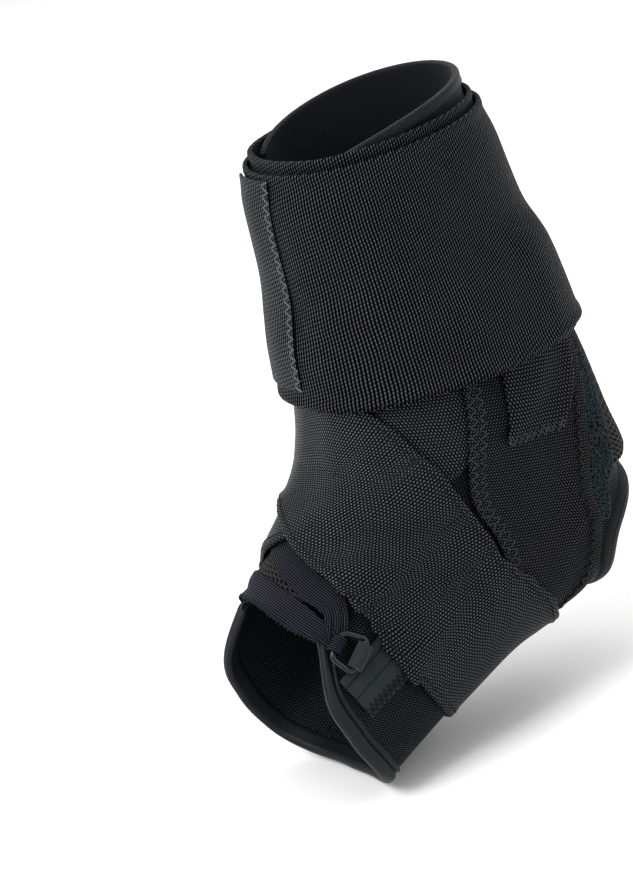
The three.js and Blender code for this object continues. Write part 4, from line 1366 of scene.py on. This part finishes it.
# Colour between the yarns: painted shade, near black
SHADE_BETWEEN_YARNS = (0.0001, 0.0001, 0.0002)
panel_nylon = fabric("panel_nylon", weave, (0.0012, 0.0008), SHADE_BETWEEN_YARNS, (0.035, 0.037, 0.045),
                     0.40, 0.0002, turn=68, specular=0.3)
pocket_nylon = fabric("pocket_nylon", weave, (0.0014, 0.0010), SHADE_BETWEEN_YARNS, (0.046, 0.048, 0.057),
                      0.40, 0.00022, turn=68, specular=0.3)
strap_nylon = fabric("strap_weave", weave, (0.00125, 0.0009), SHADE_BETWEEN_YARNS, (0.058, 0.062, 0.073),
                     0.32, 0.00022, specular=0.45)
for side, turned_rows in (("medial", mirrored), ("lateral", list)):
    front = 1 if side == "lateral" else -1
    panel_part = cloth(down(turned_rows(PANEL)), PANEL_WALL, relief=turned_edges)
    panel_part.chart = flattened(panel_part.outer, panel_part.outer[..., 1:])
    panel = piece("side_panel_nylon_" + side, [panel_part], panel_nylon, "side_panel_" + side)
    pocket_part = cloth(down(turned_rows(POCKET)), POCKET_WALL, relief=turned_edges)
    pocket_part.chart = flattened(pocket_part.outer, pocket_part.outer[..., 1:])
    pocket = piece("stay_pocket_nylon_" + side, [pocket_part], pocket_nylon, "stay_pocket_" + side)
    strap_part = cloth(strip(turned_rows(STRAP), lambda t: STRAP_WIDTH + 0 * t), STRAP_WALL,
                       bed=laid(STRAP_STIFF), relief=strap_folds, pull=STRAP_TAUT)
    strap_part.chart = curved_cut(strap_part.outer)
    strap = piece("strap_webbing_" + side, [strap_part], strap_nylon, side + "_strap")
    front_zigzags = [beside(panel_part, front * at) for at in FRONT_ZIGZAGS]
    sew("panel_front_zigzag_" + side, front_zigzags, ZIGZAG_STITCH, ZIGZAG_SWING, THREAD, dark_thread)
    sew("panel_rear_zigzag_" + side, [beside(panel_part, -front * REAR_ZIGZAG)], 1.15 * ZIGZAG_STITCH,
        ZIGZAG_SWING, 1.8 * THREAD, black_thread, sink=0.2)
    sew("panel_low_zigzag_" + side, [along_edge(panel_part, -LOW_ZIGZAG)], ZIGZAG_STITCH, ZIGZAG_SWING,
        THREAD, black_thread)
    pocket_zigzags = [along_edge(pocket_part, at) for at in POCKET_ZIGZAGS]
    sew("pocket_zigzag_" + side, pocket_zigzags, 0.8 * ZIGZAG_STITCH, ZIGZAG_SWING, THREAD, dark_thread)
    strap_seams = [beside(strap_part, at) for at in (STRAP_SEAM, -STRAP_SEAM)]
    sew("strap_seams_" + side, strap_seams, STRAIGHT_STITCH, 0.0, THREAD, black_thread)

# Cuff: a 76 mm elastic wound twice round the top, over all the other layers, built as two
# closed turns. Its sewn end lies in front, held with a light zigzag.
CUFF_HEIGHT = 0.076
CUFF_WALL = 0.0015
INNER_RISE = 0.0035
INNER_DROP = 0.0015
SELVEDGE = 0.003
SELVEDGE_RISE = 0.0003
SELVEDGE_SLOPE = 0.0008
RIB_PITCH = (0.00105, 0.0013)
RIB_ROUND = 0.8
RIB_SHARP = 3.6              # how narrow the painted highlight on a stitch is
STITCH_DIP = 0.35            # depth between two stitches, as a share of their height
STITCH_STEP = 0.12           # how far a rib's stitches are out of step with the next rib's
STITCH_SLANT = 0.15
INNER_STIFF = 6
CUFF_STIFF = 2
END_TAB_WALL = 0.0011
END_TAB_WIDTH = 0.017
END_ZIGZAG = 0.0016          # from the end's right edge to its seam
END_SWING = 0.0032
END_THINNED = 0.75           # what the end loses of its wall where it is sewn down
cuff_top = station_at(CUFF_TOP)
cuff_bottom = station_at(CUFF_TOP - CUFF_HEIGHT)
END_TAB = [
    # share of the cuff's height, angle of the right edge
    [0.02, 7],
    [0.3, 4],
    [0.9, 5],
]


def ring_band(upper, lower):
    """A closed band between two stations."""
    def place(s, t):
        return lerp(upper, lower, t), 360 * s
    return place


def selvedge(across, along, width, length):
    """The elastic's two edges are woven a little thicker."""
    near = np.minimum(along, length - along)
    return SELVEDGE_RISE * smooth((SELVEDGE - near) / SELVEDGE_SLOPE)


def elastic_ribs(tree, x, y):
    """Upright ribs, each a column of short stitches, with a painted highlight on each stitch."""
    step = calc(tree, "MULTIPLY", calc(tree, "FLOOR", calc(tree, "ADD", x, 0.5)), STITCH_STEP)
    slant = calc(tree, "MULTIPLY", x, STITCH_SLANT)
    stitch = wave(tree, calc(tree, "ADD", calc(tree, "ADD", y, step), slant))
    rib = calc(tree, "POWER", wave(tree, x), RIB_ROUND)
    height = calc(tree, "MULTIPLY", rib, calc(tree, "MULTIPLY_ADD", stitch, STITCH_DIP, 1 - STITCH_DIP))
    return height, calc(tree, "POWER", height, RIB_SHARP)


wrap_elastic = fabric("wrap_elastic", elastic_ribs, RIB_PITCH, (0.0002, 0.0003, 0.0004),
                      (0.054, 0.067, 0.075), 0.5, 0.0002)
# The sewn end is the cuff's own elastic, made lighter as painted rim light, with a random mottle
end_elastic_painted_rim_light = fabric("end_elastic_painted_rim_light", elastic_ribs, RIB_PITCH, (0.0006, 0.0008, 0.0010),
                     (0.074, 0.096, 0.110), 0.45, 0.0002, sheen=0.05, mottle=0.8)
inner_top = station_at(CUFF_TOP + INNER_RISE)
inner_bottom = station_at(CUFF_TOP - CUFF_HEIGHT - INNER_DROP)
inner_part = cloth(ring_band(inner_top, inner_bottom), CUFF_WALL, closed=True, bed=laid(INNER_STIFF),
                   relief=selvedge)
inner_cuff = piece("inner_wrap", [inner_part], wrap_elastic, "inner_cuff")
cuff_part = cloth(ring_band(cuff_top, cuff_bottom), CUFF_WALL, closed=True, bed=laid(CUFF_STIFF),
                  relief=selvedge)
cuff = piece("outer_wrap", [cuff_part], wrap_elastic, "elastic_cuff")
end_rows = []
for share, angle in END_TAB:
    edge = (np.array(lerp(cuff_top, cuff_bottom, share)), np.array(float(angle)))
    left = travel(edge, -form_slopes(*edge)[1], END_TAB_WIDTH)
    end_rows.append([float(edge[0]), float(left[1]), angle])


def end_taper(s, t):
    """The end is pressed thin where it is sewn down."""
    return 1 - END_THINNED * smooth((s - 0.35) / 0.6)


end_part = cloth(down(end_rows), END_TAB_WALL, thickness=end_taper)
end_tab = piece("cuff_end", [end_part], end_elastic_painted_rim_light, "cuff_end_tab")
sew("cuff_end_zigzag", [beside(end_part, -END_ZIGZAG)], ZIGZAG_STITCH, END_SWING, 1.3 * THREAD,
    grey_thread)
